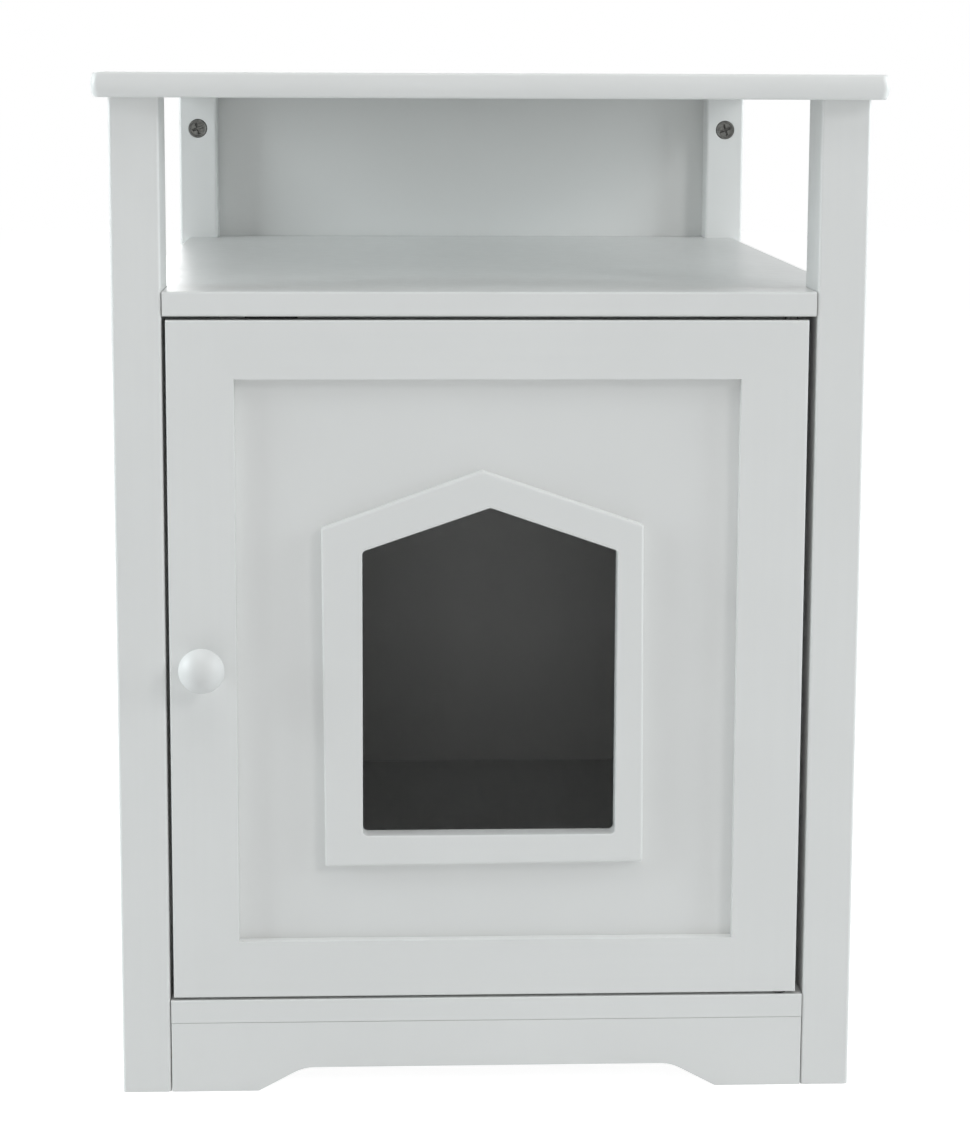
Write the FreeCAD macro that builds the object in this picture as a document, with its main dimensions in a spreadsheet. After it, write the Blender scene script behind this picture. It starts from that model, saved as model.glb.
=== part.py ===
import FreeCAD, Part

"""Cat litter box cabinet: four posts, an open shelf under a bowed top, and a
framed door with a house-shaped entrance, hung on two pivot pins.

Millimetres. +Z is up, the front faces -Y, and the origin is on the floor under
the middle of the whole object.
"""

import math
import os
from types import SimpleNamespace

import Sketcher
from FreeCAD import Placement, Rotation, Vector

# ---------------------------------------------------------------------------
# Driving dimensions
# ---------------------------------------------------------------------------
SIZES = {
    # top board
    "overall_height": 635.0,
    "top_width": 475.0,
    "top_thickness": 15.0,
    "top_front_overhang": 16.5,
    "top_side_overhang": 8.5,
    "top_bow_radius": 20.0,
    "top_edge_rounding": 2.0,
    "top_corner_radius": 5.0,
    # posts and panels between them
    "cabinet_depth": 583.5,
    "post_width": 30.0,
    "post_depth": 45.0,
    "post_rounding": 2.0,
    "side_thickness": 12.0,
    "panel_foot_gap": 30.0,
    "back_thickness": 12.0,
    "back_setback": 10.5,
    # shelf, base panel and skirt
    "shelf_height": 489.0,
    "shelf_thickness": 15.0,
    "shelf_side_inset": 8.0,
    "board_rounding": 1.5,
    "board_gap": 0.5,
    "base_thickness": 15.0,
    "base_rounding": 0.8,
    "skirt_height": 44.5,
    "skirt_thickness": 15.0,
    "skirt_foot": 54.5,
    "skirt_rise": 15.0,
    "skirt_run": 35.0,
    "skirt_arch_radius": 27.0,
    # door frame and panel
    "door_gap_latch": 2.3,
    "door_gap_hinge": 4.7,
    "door_gap_top": 2.2,
    "door_gap_bottom": 1.7,
    "door_thickness": 15.0,
    "door_rounding": 1.2,
    "stile_width": 41.0,
    "rail_height": 36.0,
    "panel_recess": 7.4,
    "panel_thickness": 5.0,
    "groove_depth": 8.0,
    "groove_clearance": 0.1,
    "panel_end_gap": 0.5,
    # house-shaped entrance and the trim round it
    "entry_width": 157.0,
    "entry_wall": 179.5,
    "entry_rise": 27.0,
    "entry_sill": 103.8,
    "entry_offset": 1.4,
    "entry_corner_radius": 3.0,
    "trim_width": 198.0,
    "trim_wall": 213.4,
    "trim_rise": 34.8,
    "trim_below_sill": 18.8,
    "trim_offset": -2.8,
    "trim_lean": 0.5,
    "trim_rounding": 1.5,
    "entry_rounding": 0.8,
    # knob
    "knob_diameter": 28.6,
    "knob_reach": 24.0,
    "knob_foot_diameter": 17.0,
    "knob_neck_diameter": 13.0,
    "knob_neck_height": 6.0,
    "knob_rim_height": 14.0,
    "knob_foot_curve": 8.0,
    "knob_under_curve": 12.0,
    "knob_rim_rounding": 0.8,
    "knob_height": 212.4,
    "knob_screw_diameter": 4.0,
    "knob_screw_grip": 12.0,
    "knob_screw_head": 8.0,
    "knob_screw_head_height": 2.4,
    # pivots of the door
    "pivot_inset": 9.8,
    "pivot_pin_diameter": 6.0,
    "pivot_pin_depth": 20.0,
    "pivot_pin_reach": 7.5,
    "pivot_clearance": 0.05,
    "pivot_collar_diameter": 8.4,
    "pivot_collar_gap": 0.3,
    "bush_diameter": 10.0,
    "bush_length": 9.0,
    # magnetic catch
    "catch_inset": 63.0,
    "catch_width": 32.0,
    "catch_depth": 18.0,
    "catch_height": 14.0,
    "catch_rounding": 1.0,
    "catch_pocket_width": 18.0,
    "catch_pocket_height": 8.0,
    "catch_pocket_depth": 14.0,
    "catch_screw_spacing": 25.0,
    "catch_screw_back": 10.0,
    "catch_air_gap": 0.3,
    "pole_thickness": 1.5,
    "pole_reach": 0.8,
    "magnet_depth": 12.0,
    "strike_width": 28.0,
    "strike_height": 9.0,
    "strike_thickness": 1.2,
    "small_screw_diameter": 3.0,
    "small_screw_head": 6.0,
    "catch_screw_bite": 10.0,
    "strike_screw_bite": 11.0,
    "recess_width": 0.8,
    "recess_depth": 1.2,
    # dowels and cam fittings
    "dowel_diameter": 6.0,
    "dowel_length": 30.0,
    "dowel_bias": 5.0,
    "dowel_bevel": 0.8,
    "bore_clearance": 0.1,
    "bore_end_gap": 0.5,
    "cam_diameter": 15.0,
    "cam_depth": 12.5,
    "cam_axis_depth": 7.0,
    "cam_distance": 28.0,
    "cam_front_offset": 36.0,
    "cam_slot_width": 7.6,
    "cam_recess_width": 1.6,
    "cam_recess_length": 9.0,
    "cam_recess_depth": 2.0,
    "bolt_thread_diameter": 6.0,
    "bolt_thread_length": 11.0,
    "bolt_shank_diameter": 5.0,
    "bolt_neck_diameter": 3.2,
    "bolt_head_diameter": 6.4,
    "bolt_head_length": 4.0,
    "bolt_neck_length": 4.0,
    "bolt_bore_diameter": 8.0,
    # places of the dowels along the joints
    "top_dowel_inset": 10.0,
    "front_dowel_inset": 20.0,
    "panel_dowel_inset": 45.0,
    "back_board_dowel_inset": 28.0,
    "shelf_dowel_inset": 110.0,
    "skirt_dowel_height": 22.0,
    "skirt_dowel_inset": 110.0,
    "rail_dowel_edge": 8.0,
    "rail_dowel_pitch": 12.0,
}

doc = FreeCAD.newDocument("litter_box_cabinet")
sheet = doc.addObject("Spreadsheet::Sheet", "Sizes")
for row, (alias, number) in enumerate(SIZES.items(), start=1):
    sheet.set(f"A{row}", alias)
    sheet.set(f"B{row}", str(number))
    sheet.setAlias(f"B{row}", alias)
doc.recompute()


class Size:
    """A length with its value now and the expression of sheet cells it follows."""

    def __init__(self, value, text):
        self.value = float(value)
        self.text = text

    @staticmethod
    def of(other):
        return other if isinstance(other, Size) else Size(other, f"{other:g}")

    def _with(self, sign, other, value):
        return Size(value, f"({self.text} {sign} {other.text})")

    def __add__(self, other):
        other = Size.of(other)
        return self._with("+", other, self.value + other.value)

    def __sub__(self, other):
        other = Size.of(other)
        return self._with("-", other, self.value - other.value)

    def __mul__(self, other):
        other = Size.of(other)
        return self._with("*", other, self.value * other.value)

    def __truediv__(self, other):
        other = Size.of(other)
        return self._with("/", other, self.value / other.value)

    def __radd__(self, other):
        return Size.of(other) + self

    def __rmul__(self, other):
        return Size.of(other) * self

    def __neg__(self):
        return Size(-self.value, f"(0 - {self.text})")


size = SimpleNamespace(**{alias: Size(number, f"Sizes.{alias}") for alias, number in SIZES.items()})

# ---------------------------------------------------------------------------
# Places worked out from the driving dimensions
# ---------------------------------------------------------------------------
FRONT = (size.knob_reach - size.cabinet_depth) / 2
BACK = FRONT + size.cabinet_depth
FRONT_POST_BACK = FRONT + size.post_depth
BACK_POST_FRONT = BACK - size.post_depth
BACK_PANEL_FRONT = BACK - size.back_setback - size.back_thickness
BACK_PANEL_MIDDLE = BACK - size.back_setback - size.back_thickness / 2

POST_OUTER = size.top_width / 2 - size.top_side_overhang
POST_INNER = POST_OUTER - size.post_width
POST_MIDDLE = POST_OUTER - size.post_width / 2
POST_TOP = size.overall_height - size.top_thickness
SHELF_TOP = size.shelf_height + size.shelf_thickness
BASE_TOP = size.skirt_height + size.base_thickness
SIDE_INNER = POST_MIDDLE - size.side_thickness / 2

DOOR_LATCH_EDGE = size.door_gap_latch - POST_INNER
DOOR_HINGE_EDGE = POST_INNER - size.door_gap_hinge
DOOR_WIDTH = DOOR_HINGE_EDGE - DOOR_LATCH_EDGE
DOOR_BOTTOM = BASE_TOP + size.door_gap_bottom
DOOR_TOP = size.shelf_height - size.door_gap_top
DOOR_HEIGHT = DOOR_TOP - DOOR_BOTTOM
DOOR_MIDDLE = (DOOR_LATCH_EDGE + DOOR_HINGE_EDGE) / 2
DOOR_BACK = FRONT + size.door_thickness
RAIL_LENGTH = DOOR_WIDTH - 2 * size.stile_width
PANEL_FRONT = FRONT + size.panel_recess
PIVOT_X = DOOR_HINGE_EDGE - size.pivot_inset
PIVOT_Y = FRONT + size.door_thickness / 2
KNOB_X = DOOR_LATCH_EDGE + size.stile_width / 2
KNOB_Z = DOOR_BOTTOM + size.knob_height
ENTRY_X = DOOR_MIDDLE + size.entry_offset
ENTRY_Z = DOOR_BOTTOM + size.entry_sill
CATCH_X = DOOR_LATCH_EDGE + size.catch_inset
STRIKE_BACK = DOOR_BACK + size.strike_thickness
CATCH_FRONT = STRIKE_BACK + size.catch_air_gap + size.pole_reach
CATCH_Z = size.shelf_height - size.catch_height / 2

SIDES = {"left": -1, "right": 1}
SMALL = 1e-4

# how a sketch names the points of an edge, its own origin and its upright axis
START, END, CENTRE = range(1, 4)
ORIGIN = (-1, START)
LEVEL_AXIS, UPRIGHT_AXIS = -1, -2


# ---------------------------------------------------------------------------
# Ways of making a piece
# ---------------------------------------------------------------------------
def follow(obj, **properties):
    """Binds properties to expressions. A double underscore stands for a dot."""
    for name, length in properties.items():
        obj.setExpression(name.replace("__", "."), Size.of(length).text)


def place(obj, x=0, y=0, z=0, turn=None):
    """Puts an object's own origin at x, y, z, turned by a rotation."""
    if turn is not None:
        obj.Placement = Placement(Vector(), turn)
    follow(obj, Placement__Base__x=x, Placement__Base__y=y, Placement__Base__z=z)
    return obj


def new_sketch(body, name, role):
    """A sketch on one of the body's own origin planes."""
    sketch = body.newObject("Sketcher::SketchObject", name)
    plane = next(item for item in body.Origin.OriginFeatures if item.Role == role)
    sketch.AttachmentSupport = (plane, [""])
    sketch.MapMode = "FlatFace"
    return sketch


def pin_point(sketch, edge, end, x, y):
    """Holds one end of a sketch edge at x, y from the sketch's origin."""
    for kind, axis, length in (("DistanceX", UPRIGHT_AXIS, x), ("DistanceY", LEVEL_AXIS, y)):
        length = Size.of(length)
        if length.text == "0":
            sketch.addConstraint(Sketcher.Constraint("PointOnObject", edge, end, axis))
            continue
        number = sketch.addConstraint(Sketcher.Constraint(kind, *ORIGIN, edge, end, length.value))
        sketch.setExpression(f"Constraints[{number}]", length.text)


def add_outline(sketch, points):
    """A closed outline of straight edges through points of sizes."""
    first = sketch.GeometryCount
    flat = [Vector(Size.of(x).value, Size.of(y).value, 0) for x, y in points]
    count = len(flat)
    for index in range(count):
        sketch.addGeometry(Part.LineSegment(flat[index], flat[(index + 1) % count]), False)
    for index in range(count):
        following = first + (index + 1) % count
        sketch.addConstraint(Sketcher.Constraint("Coincident", first + index, END, following, START))
    for index, (x, y) in enumerate(points):
        pin_point(sketch, first + index, START, x, y)


def rectangle(width, height):
    return [(0, 0), (width, 0), (width, height), (0, height)]


def extruded(name, points, length, role="XY_Plane", reverse=False):
    """A body padded from one outline, along its plane's normal or against it."""
    body = doc.addObject("PartDesign::Body", name)
    sketch = new_sketch(body, name + "_outline", role)
    add_outline(sketch, points)
    pad = body.newObject("PartDesign::Pad", name + "_pad")
    pad.Profile = sketch
    pad.Reversed = reverse
    follow(pad, Length=length)
    return body


def turned(name, points):
    """A body turned about its own Z axis from an outline of radius and height."""
    body = doc.addObject("PartDesign::Body", name)
    sketch = new_sketch(body, name + "_profile", "XZ_Plane")
    add_outline(sketch, points)
    turning = body.newObject("PartDesign::Revolution", name + "_turning")
    turning.Profile = sketch
    turning.ReferenceAxis = (sketch, ["V_Axis"])
    turning.Angle = 360
    return body


def edges_where(shape, wanted):
    """Numbers of the edges whose two ends or middle pass the test."""
    return [number for number, edge in enumerate(shape.Edges, start=1) if wanted(edge)]


def runs_along(edge, axis):
    """True for a straight edge that runs along the axis with this index."""
    start, end = edge.Vertexes[0].Point, edge.Vertexes[-1].Point
    step = end - start
    across = [abs(step[index]) for index in range(3) if index != axis]
    return abs(step[axis]) > SMALL and max(across) < SMALL


def lies_at(edge, axis, value):
    """True where both ends of an edge have this coordinate."""
    return all(abs(vertex.Point[axis] - value) < SMALL for vertex in edge.Vertexes)


def round_edges(body, radius, wanted):
    """Rounds the chosen edges of the body's last feature."""
    doc.recompute()
    base = body.Tip
    numbers = edges_where(base.Shape, wanted)
    if not numbers:
        raise RuntimeError(f"{body.Name}: no edge to round")
    fillet = body.newObject("PartDesign::Fillet", f"{body.Name}_rounding")
    fillet.Base = (base, [f"Edge{number}" for number in numbers])
    follow(fillet, Radius=radius)
    doc.recompute()
    return body


def cut_out(body, sketch, depth, reverse=False):
    """Pockets a sketch into a body and makes sure that material went away."""
    before = body.Shape.Volume
    cut = body.newObject("PartDesign::Pocket", sketch.Name + "_pocket")
    cut.Profile = sketch
    cut.Reversed = reverse
    follow(cut, Length=depth)
    doc.recompute()
    if body.Shape.Volume > before - SMALL:
        raise RuntimeError(f"{sketch.Name} cut nothing")
    return body


def pocket(body, name, points, depth, role, offset=0, reverse=False):
    """Cuts a straight-edged outline into a body."""
    doc.recompute()
    sketch = new_sketch(body, name, role)
    follow(sketch, AttachmentOffset__Base__z=offset)
    add_outline(sketch, points)
    return cut_out(body, sketch, depth, reverse)


def group(name, members):
    """Several solids kept as one sub-part."""
    compound = doc.addObject("Part::Compound", name)
    compound.Links = members
    return compound


def bored(name, blank, *tools):
    """The blank with the bores of its fasteners taken out."""
    cut = doc.addObject("Part::Cut", name)
    cut.Base = blank
    cut.Tool = tools[0] if len(tools) == 1 else group(name + "_bores", list(tools))
    return cut


def copy_of(master, name, x, y, z, turn):
    """Another instance of a master piece."""
    link = doc.addObject("App::Link", name)
    link.LinkedObject = master
    link.LinkTransform = False
    return place(link, x, y, z, turn)


finished = {}


def keep(name, obj):
    """Names a finished sub-part: the name is its node and its file."""
    obj.Label = name
    finished[name] = obj
    return obj


# ---------------------------------------------------------------------------
# Dowels: a bevelled pin and the bore for it, copied to each joint
# ---------------------------------------------------------------------------
ALONG = {
    "x": Rotation(Vector(0, 0, 1), Vector(1, 0, 0)),
    "y": Rotation(Vector(0, 0, 1), Vector(0, 1, 0)),
    "z": Rotation(),
}

dowel_radius = size.dowel_diameter / 2
dowel_master = turned(
    "dowel_master",
    [
        (0, 0),
        (dowel_radius - size.dowel_bevel, 0),
        (dowel_radius, size.dowel_bevel),
        (dowel_radius, size.dowel_length - size.dowel_bevel),
        (dowel_radius - size.dowel_bevel, size.dowel_length),
        (0, size.dowel_length),
    ],
)
dowel_bore_master = doc.addObject("Part::Cylinder", "dowel_bore_master")
follow(
    dowel_bore_master,
    Radius=dowel_radius + size.bore_clearance,
    Height=size.dowel_length + 2 * size.bore_end_gap,
)


def dowels(name, axis, centres):
    """A kept group of dowels on one axis, and the group of their bores."""
    made = []
    for label, master, length in (
        (name, dowel_master, size.dowel_length),
        (name + "_bore", dowel_bore_master, size.dowel_length + 2 * size.bore_end_gap),
    ):
        copies = []
        for number, centre in enumerate(centres, start=1):
            low = {side: Size.of(value) for side, value in zip("xyz", centre)}
            low[axis] = low[axis] - length / 2
            copies.append(copy_of(master, f"{label}_{number}", turn=ALONG[axis], **low))
        made.append(copies)
    pins, bores = made
    keep(name, group(name, pins))
    return group(name + "_bores", bores)


top_dowel_bores = dowels(
    "top_dowels",
    "z",
    [
        (sign * POST_MIDDLE, y, POST_TOP - size.dowel_bias)
        for y in (FRONT + size.top_dowel_inset, BACK - size.top_dowel_inset)
        for sign in SIDES.values()
    ],
)
shelf_dowel_bores = dowels(
    "shelf_dowels",
    "z",
    [
        (sign * POST_MIDDLE, y, size.shelf_height - size.dowel_bias)
        for y in (FRONT + size.shelf_dowel_inset, BACK - size.shelf_dowel_inset)
        for sign in SIDES.values()
    ],
)
front_dowel_y = FRONT + size.front_dowel_inset
board_dowel_bores = dowels(
    "board_front_dowels",
    "x",
    [
        (sign * POST_INNER, front_dowel_y, z)
        for z in (size.skirt_height + size.base_thickness / 2, size.shelf_height + size.shelf_thickness / 2)
        for sign in SIDES.values()
    ],
)
panel_dowel_heights = (
    size.panel_foot_gap + size.panel_dowel_inset,
    (size.panel_foot_gap + size.shelf_height) / 2,
    size.shelf_height - size.panel_dowel_inset,
)
side_dowel_bores = dowels(
    "side_panel_dowels",
    "y",
    [
        (sign * POST_MIDDLE, y, z)
        for y in (FRONT_POST_BACK, BACK_POST_FRONT)
        for z in panel_dowel_heights
        for sign in SIDES.values()
    ],
)
back_dowel_bores = dowels(
    "back_panel_dowels",
    "x",
    [
        (sign * POST_INNER, BACK_PANEL_MIDDLE, z)
        for z in panel_dowel_heights
        for sign in SIDES.values()
    ],
)
back_board_dowel_bores = dowels(
    "back_board_dowels",
    "x",
    [
        (sign * POST_INNER, BACK_PANEL_MIDDLE, z)
        for z in (SHELF_TOP + size.back_board_dowel_inset, POST_TOP - size.back_board_dowel_inset)
        for sign in SIDES.values()
    ],
)
skirt_middle = FRONT + size.skirt_thickness / 2
skirt_end_dowel_bores = dowels(
    "skirt_end_dowels",
    "x",
    [(sign * POST_INNER, skirt_middle, size.skirt_dowel_height) for sign in SIDES.values()],
)
skirt_top_dowel_bores = dowels(
    "skirt_top_dowels",
    "z",
    [
        (sign * (POST_INNER - size.skirt_dowel_inset), skirt_middle, size.skirt_height - size.dowel_bias)
        for sign in SIDES.values()
    ],
)
door_dowel_bores = dowels(
    "door_dowels",
    "x",
    [
        (x, PIVOT_Y, z)
        for x in (DOOR_LATCH_EDGE + size.stile_width, DOOR_HINGE_EDGE - size.stile_width)
        for z in (
            DOOR_BOTTOM + size.rail_dowel_edge,
            DOOR_BOTTOM + size.rail_dowel_edge + size.rail_dowel_pitch,
            DOOR_TOP - size.rail_dowel_edge - size.rail_dowel_pitch,
            DOOR_TOP - size.rail_dowel_edge,
        )
    ],
)

# ---------------------------------------------------------------------------
# Cam fittings. The master lock has its open face up at Z = 0, and its bolt
# leaves along +X: the mating face is at X = cam_distance.
# ---------------------------------------------------------------------------
cam_radius = size.cam_diameter / 2


def cross(length, width):
    """The outline of a cross centred on the origin."""
    arm, half = length / 2, width / 2
    return [
        (half, half), (arm, half), (arm, -half), (half, -half),
        (half, -arm), (-half, -arm), (-half, -half), (-arm, -half),
        (-arm, half), (-half, half), (-half, arm), (half, arm),
    ]


cam_lock_master = turned(
    "cam_lock_master",
    [(0, -size.cam_depth), (cam_radius, -size.cam_depth), (cam_radius, 0), (0, 0)],
)
pocket(
    cam_lock_master,
    "cam_cross",
    cross(size.cam_recess_length, size.cam_recess_width),
    size.cam_recess_depth,
    "XY_Plane",
)
slot_half = size.cam_slot_width / 2
pocket(
    cam_lock_master,
    "cam_slot",
    [
        (-slot_half, -slot_half),
        (size.cam_diameter, -slot_half),
        (size.cam_diameter, slot_half),
        (-slot_half, slot_half),
    ],
    size.cam_slot_width,
    "XY_Plane",
    offset=slot_half - size.cam_axis_depth,
)

bolt_end = size.cam_distance + size.bolt_thread_length
head_radius = size.bolt_head_diameter / 2
neck_radius = size.bolt_neck_diameter / 2
shank_radius = size.bolt_shank_diameter / 2
thread_radius = size.bolt_thread_diameter / 2
head_start = -size.bolt_head_length / 2
neck_start = size.bolt_head_length / 2
shank_start = neck_start + size.bolt_neck_length
cam_bolt_master = turned(
    "cam_bolt_master",
    [
        (0, head_start), (head_radius, head_start), (head_radius, neck_start),
        (neck_radius, neck_start), (neck_radius, shank_start),
        (shank_radius, shank_start), (shank_radius, size.cam_distance),
        (thread_radius, size.cam_distance), (thread_radius, bolt_end), (0, bolt_end),
    ],
)
place(cam_bolt_master, z=-size.cam_axis_depth, turn=ALONG["x"])
bolt_carrier = group("cam_bolt_carrier", [cam_bolt_master])

cam_pocket_tool = doc.addObject("Part::Cylinder", "cam_pocket_tool")
follow(
    cam_pocket_tool,
    Radius=cam_radius + size.bore_clearance,
    Height=size.cam_depth + size.bore_clearance,
)
place(cam_pocket_tool, z=-size.cam_depth - size.bore_clearance)
bolt_way_tool = doc.addObject("Part::Cylinder", "bolt_way_tool")
follow(bolt_way_tool, Radius=size.bolt_bore_diameter / 2, Height=size.cam_distance)
place(bolt_way_tool, z=-size.cam_axis_depth, turn=ALONG["x"])
thread_tool = doc.addObject("Part::Cylinder", "thread_tool")
follow(
    thread_tool,
    Radius=thread_radius + size.bore_clearance,
    Height=size.bolt_thread_length + size.bore_end_gap,
)
place(thread_tool, x=size.cam_distance, z=-size.cam_axis_depth, turn=ALONG["x"])
cam_bore_master = group("cam_bore_master", [cam_pocket_tool, bolt_way_tool, thread_tool])


def cam_fittings(name, places):
    """Kept groups of cam locks and cam bolts, and the groups of their bores.

    Each place is a point on the lock's open face, the face's outward normal and
    the way the bolt leaves.
    """
    locks, bolts, bores = [], [], []
    for number, (point, normal, leaves) in enumerate(places, start=1):
        turn = Rotation(leaves, normal.cross(leaves), normal, "XZY")
        for master, label, copies in (
            (cam_lock_master, "lock", locks),
            (bolt_carrier, "bolt", bolts),
            (cam_bore_master, "bore", bores),
        ):
            copies.append(copy_of(master, f"{name}_cam_{label}_{number}", *point, turn))
    keep(f"{name}_cam_locks", group(f"{name}_cam_locks", locks))
    keep(f"{name}_cam_bolts", group(f"{name}_cam_bolts", bolts))
    return group(f"{name}_cam_bores", bores)


LEFT, RIGHT = Vector(-1, 0, 0), Vector(1, 0, 0)
FORWARD, BACKWARD = Vector(0, -1, 0), Vector(0, 1, 0)
UP, DOWN = Vector(0, 0, 1), Vector(0, 0, -1)
OUTWARD = {-1: LEFT, 1: RIGHT}

cam_level = POST_TOP - size.cam_distance
top_cam_bores = cam_fittings(
    "top",
    [
        ((sign * POST_MIDDLE, y, cam_level), normal, UP)
        for y, normal in ((FRONT_POST_BACK, BACKWARD), (BACK_POST_FRONT, FORWARD))
        for sign in SIDES.values()
    ],
)
cam_rows = (FRONT + size.cam_front_offset, (BACK_POST_FRONT + BACK_PANEL_FRONT) / 2)
shelf_cam_bores, base_cam_bores = [
    cam_fittings(
        name,
        [
            ((sign * (POST_INNER - size.cam_distance), y, underside), DOWN, OUTWARD[sign])
            for y in cam_rows
            for sign in SIDES.values()
        ],
    )
    for name, underside in (("shelf", size.shelf_height), ("base", size.skirt_height))
]

# ---------------------------------------------------------------------------
# Pivots of the door
# ---------------------------------------------------------------------------
pin_radius = size.pivot_pin_diameter / 2
collar_radius = size.pivot_collar_diameter / 2
bush_radius = size.bush_diameter / 2
bush_bore = pin_radius + size.pivot_clearance
bush_profile = [
    (bush_bore, 0), (bush_radius, 0), (bush_radius, size.bush_length), (bush_bore, size.bush_length)
]


def pivot_pin(name, gap):
    """A pin with its collar: Z = 0 is the door's edge, the far end enters the bush."""
    collar = gap - size.pivot_collar_gap
    tip = gap + size.pivot_pin_reach
    return turned(
        name,
        [
            (0, -size.pivot_pin_depth), (pin_radius, -size.pivot_pin_depth), (pin_radius, 0),
            (collar_radius, 0), (collar_radius, collar), (pin_radius, collar),
            (pin_radius, tip), (0, tip),
        ],
    )


FLIPPED = Rotation(Vector(1, 0, 0), 180)
keep("pivot_pin_top", place(pivot_pin("pivot_pin_top", size.door_gap_top), PIVOT_X, PIVOT_Y, DOOR_TOP))
keep(
    "pivot_pin_bottom",
    place(pivot_pin("pivot_pin_bottom", size.door_gap_bottom), PIVOT_X, PIVOT_Y, DOOR_BOTTOM, FLIPPED),
)
keep("pivot_bush_top", place(turned("pivot_bush_top", bush_profile), PIVOT_X, PIVOT_Y, size.shelf_height))
keep(
    "pivot_bush_bottom",
    place(turned("pivot_bush_bottom", bush_profile), PIVOT_X, PIVOT_Y, BASE_TOP - size.bush_length),
)


def bore(name, radius, length, x, y, z, turn=None):
    """A plain round cutter."""
    tool = doc.addObject("Part::Cylinder", name)
    follow(tool, Radius=radius, Height=length)
    return place(tool, x, y, z, turn)


top_bush_seat = bore(
    "top_bush_seat", bush_radius, size.bush_length, PIVOT_X, PIVOT_Y, size.shelf_height
)
bottom_bush_seat = bore(
    "bottom_bush_seat", bush_radius, size.bush_length, PIVOT_X, PIVOT_Y, BASE_TOP - size.bush_length
)
pin_seats = group(
    "pin_seats",
    [
        bore("top_pin_seat", pin_radius, size.pivot_pin_depth, PIVOT_X, PIVOT_Y,
             DOOR_TOP - size.pivot_pin_depth),
        bore("bottom_pin_seat", pin_radius, size.pivot_pin_depth, PIVOT_X, PIVOT_Y, DOOR_BOTTOM),
    ],
)

# ---------------------------------------------------------------------------
# Top board: three sections common to one board, two of them with bowed edges
# ---------------------------------------------------------------------------
top_depth = size.cabinet_depth + size.top_front_overhang


def bowed_end(sketch, edge_x, inward):
    """Three tangent arcs that close a section's end, and the two ends' x place.

    A wide arc bulges to edge_x at mid-thickness, and a small arc at each corner
    runs from it into the flat face.
    """
    thick, wide, small = size.top_thickness.value, size.top_bow_radius.value, size.top_edge_rounding.value
    middle_x = edge_x.value + inward * wide
    rise = thick / 2 - small
    reach = math.sqrt((wide - small) ** 2 - rise ** 2)
    corner_x = middle_x - inward * reach
    lean = math.atan2(rise, reach)
    outward = 0.0 if inward < 0 else math.pi
    first = sketch.GeometryCount

    def arc(x, y, radius, start, end):
        circle = Part.Circle(Vector(x, y, 0), Vector(0, 0, 1), radius)
        sketch.addGeometry(Part.ArcOfCircle(circle, start, end), False)

    quarter = math.pi / 2
    if inward < 0:
        arc(corner_x, small, small, -quarter, outward - lean)
        arc(middle_x, thick / 2, wide, outward - lean, outward + lean)
        arc(corner_x, thick - small, small, outward + lean, quarter)
        joins = ((first, END, first + 1, START), (first + 1, END, first + 2, START))
        bottom, top = (first, START), (first + 2, END)
    else:
        arc(corner_x, small, small, outward + lean, outward + quarter)
        arc(middle_x, thick / 2, wide, outward - lean, outward + lean)
        arc(corner_x, thick - small, small, quarter, outward - lean)
        joins = ((first, START, first + 1, END), (first + 1, START, first + 2, END))
        bottom, top = (first, END), (first + 2, START)
    for join in joins:
        sketch.addConstraint(Sketcher.Constraint("Tangent", *join))
    for edge, radius in ((first, size.top_edge_rounding), (first + 1, size.top_bow_radius),
                         (first + 2, size.top_edge_rounding)):
        number = sketch.addConstraint(Sketcher.Constraint("Radius", edge, radius.value))
        sketch.setExpression(f"Constraints[{number}]", radius.text)
    pin_point(sketch, first + 1, CENTRE, edge_x + inward * size.top_bow_radius, size.top_thickness / 2)
    return corner_x, bottom, top


def section(name, role, width, bowed_both_ends):
    """A section of the top board across its width or from front to back."""
    body = doc.addObject("PartDesign::Body", name)
    sketch = new_sketch(body, name + "_outline", role)
    thick = size.top_thickness.value
    low_x, low_bottom, low_top = bowed_end(sketch, Size.of(0), 1)
    if bowed_both_ends:
        high_x, high_bottom, high_top = bowed_end(sketch, width, -1)
    else:
        high_x = width.value
        square = sketch.addGeometry(Part.LineSegment(Vector(high_x, 0, 0), Vector(high_x, thick, 0)), False)
        pin_point(sketch, square, START, width, 0)
        pin_point(sketch, square, END, width, size.top_thickness)
        high_bottom, high_top = (square, START), (square, END)
    for level, low, high in ((0, low_bottom, high_bottom), (thick, low_top, high_top)):
        start, end = Vector(low_x, level, 0), Vector(high_x, level, 0)
        line = sketch.addGeometry(Part.LineSegment(start, end), False)
        sketch.addConstraint(Sketcher.Constraint("Tangent", line, START, *low))
        join = "Tangent" if bowed_both_ends else "Coincident"
        sketch.addConstraint(Sketcher.Constraint(join, line, END, *high))
    pad = body.newObject("PartDesign::Pad", name + "_pad")
    pad.Profile = sketch
    return body, pad


side_section, side_pad = section("top_side_section", "YZ_Plane", top_depth, False)
follow(side_pad, Length=size.top_width)
place(side_section, -size.top_width / 2, FRONT - size.top_front_overhang, POST_TOP)
front_section, front_pad = section("top_front_section", "XZ_Plane", size.top_width, True)
front_pad.Reversed = True
follow(front_pad, Length=top_depth)
place(front_section, -size.top_width / 2, FRONT - size.top_front_overhang, POST_TOP)
top_plan = extruded("top_plan", rectangle(size.top_width, top_depth), size.top_thickness)
round_edges(top_plan, size.top_corner_radius, lambda edge: runs_along(edge, 2))
place(top_plan, -size.top_width / 2, FRONT - size.top_front_overhang, POST_TOP)
top_blank = doc.addObject("Part::MultiCommon", "top_blank")
top_blank.Shapes = [top_plan, side_section, front_section]
keep("top_board", bored("top_board", top_blank, top_dowel_bores, top_cam_bores))

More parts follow.
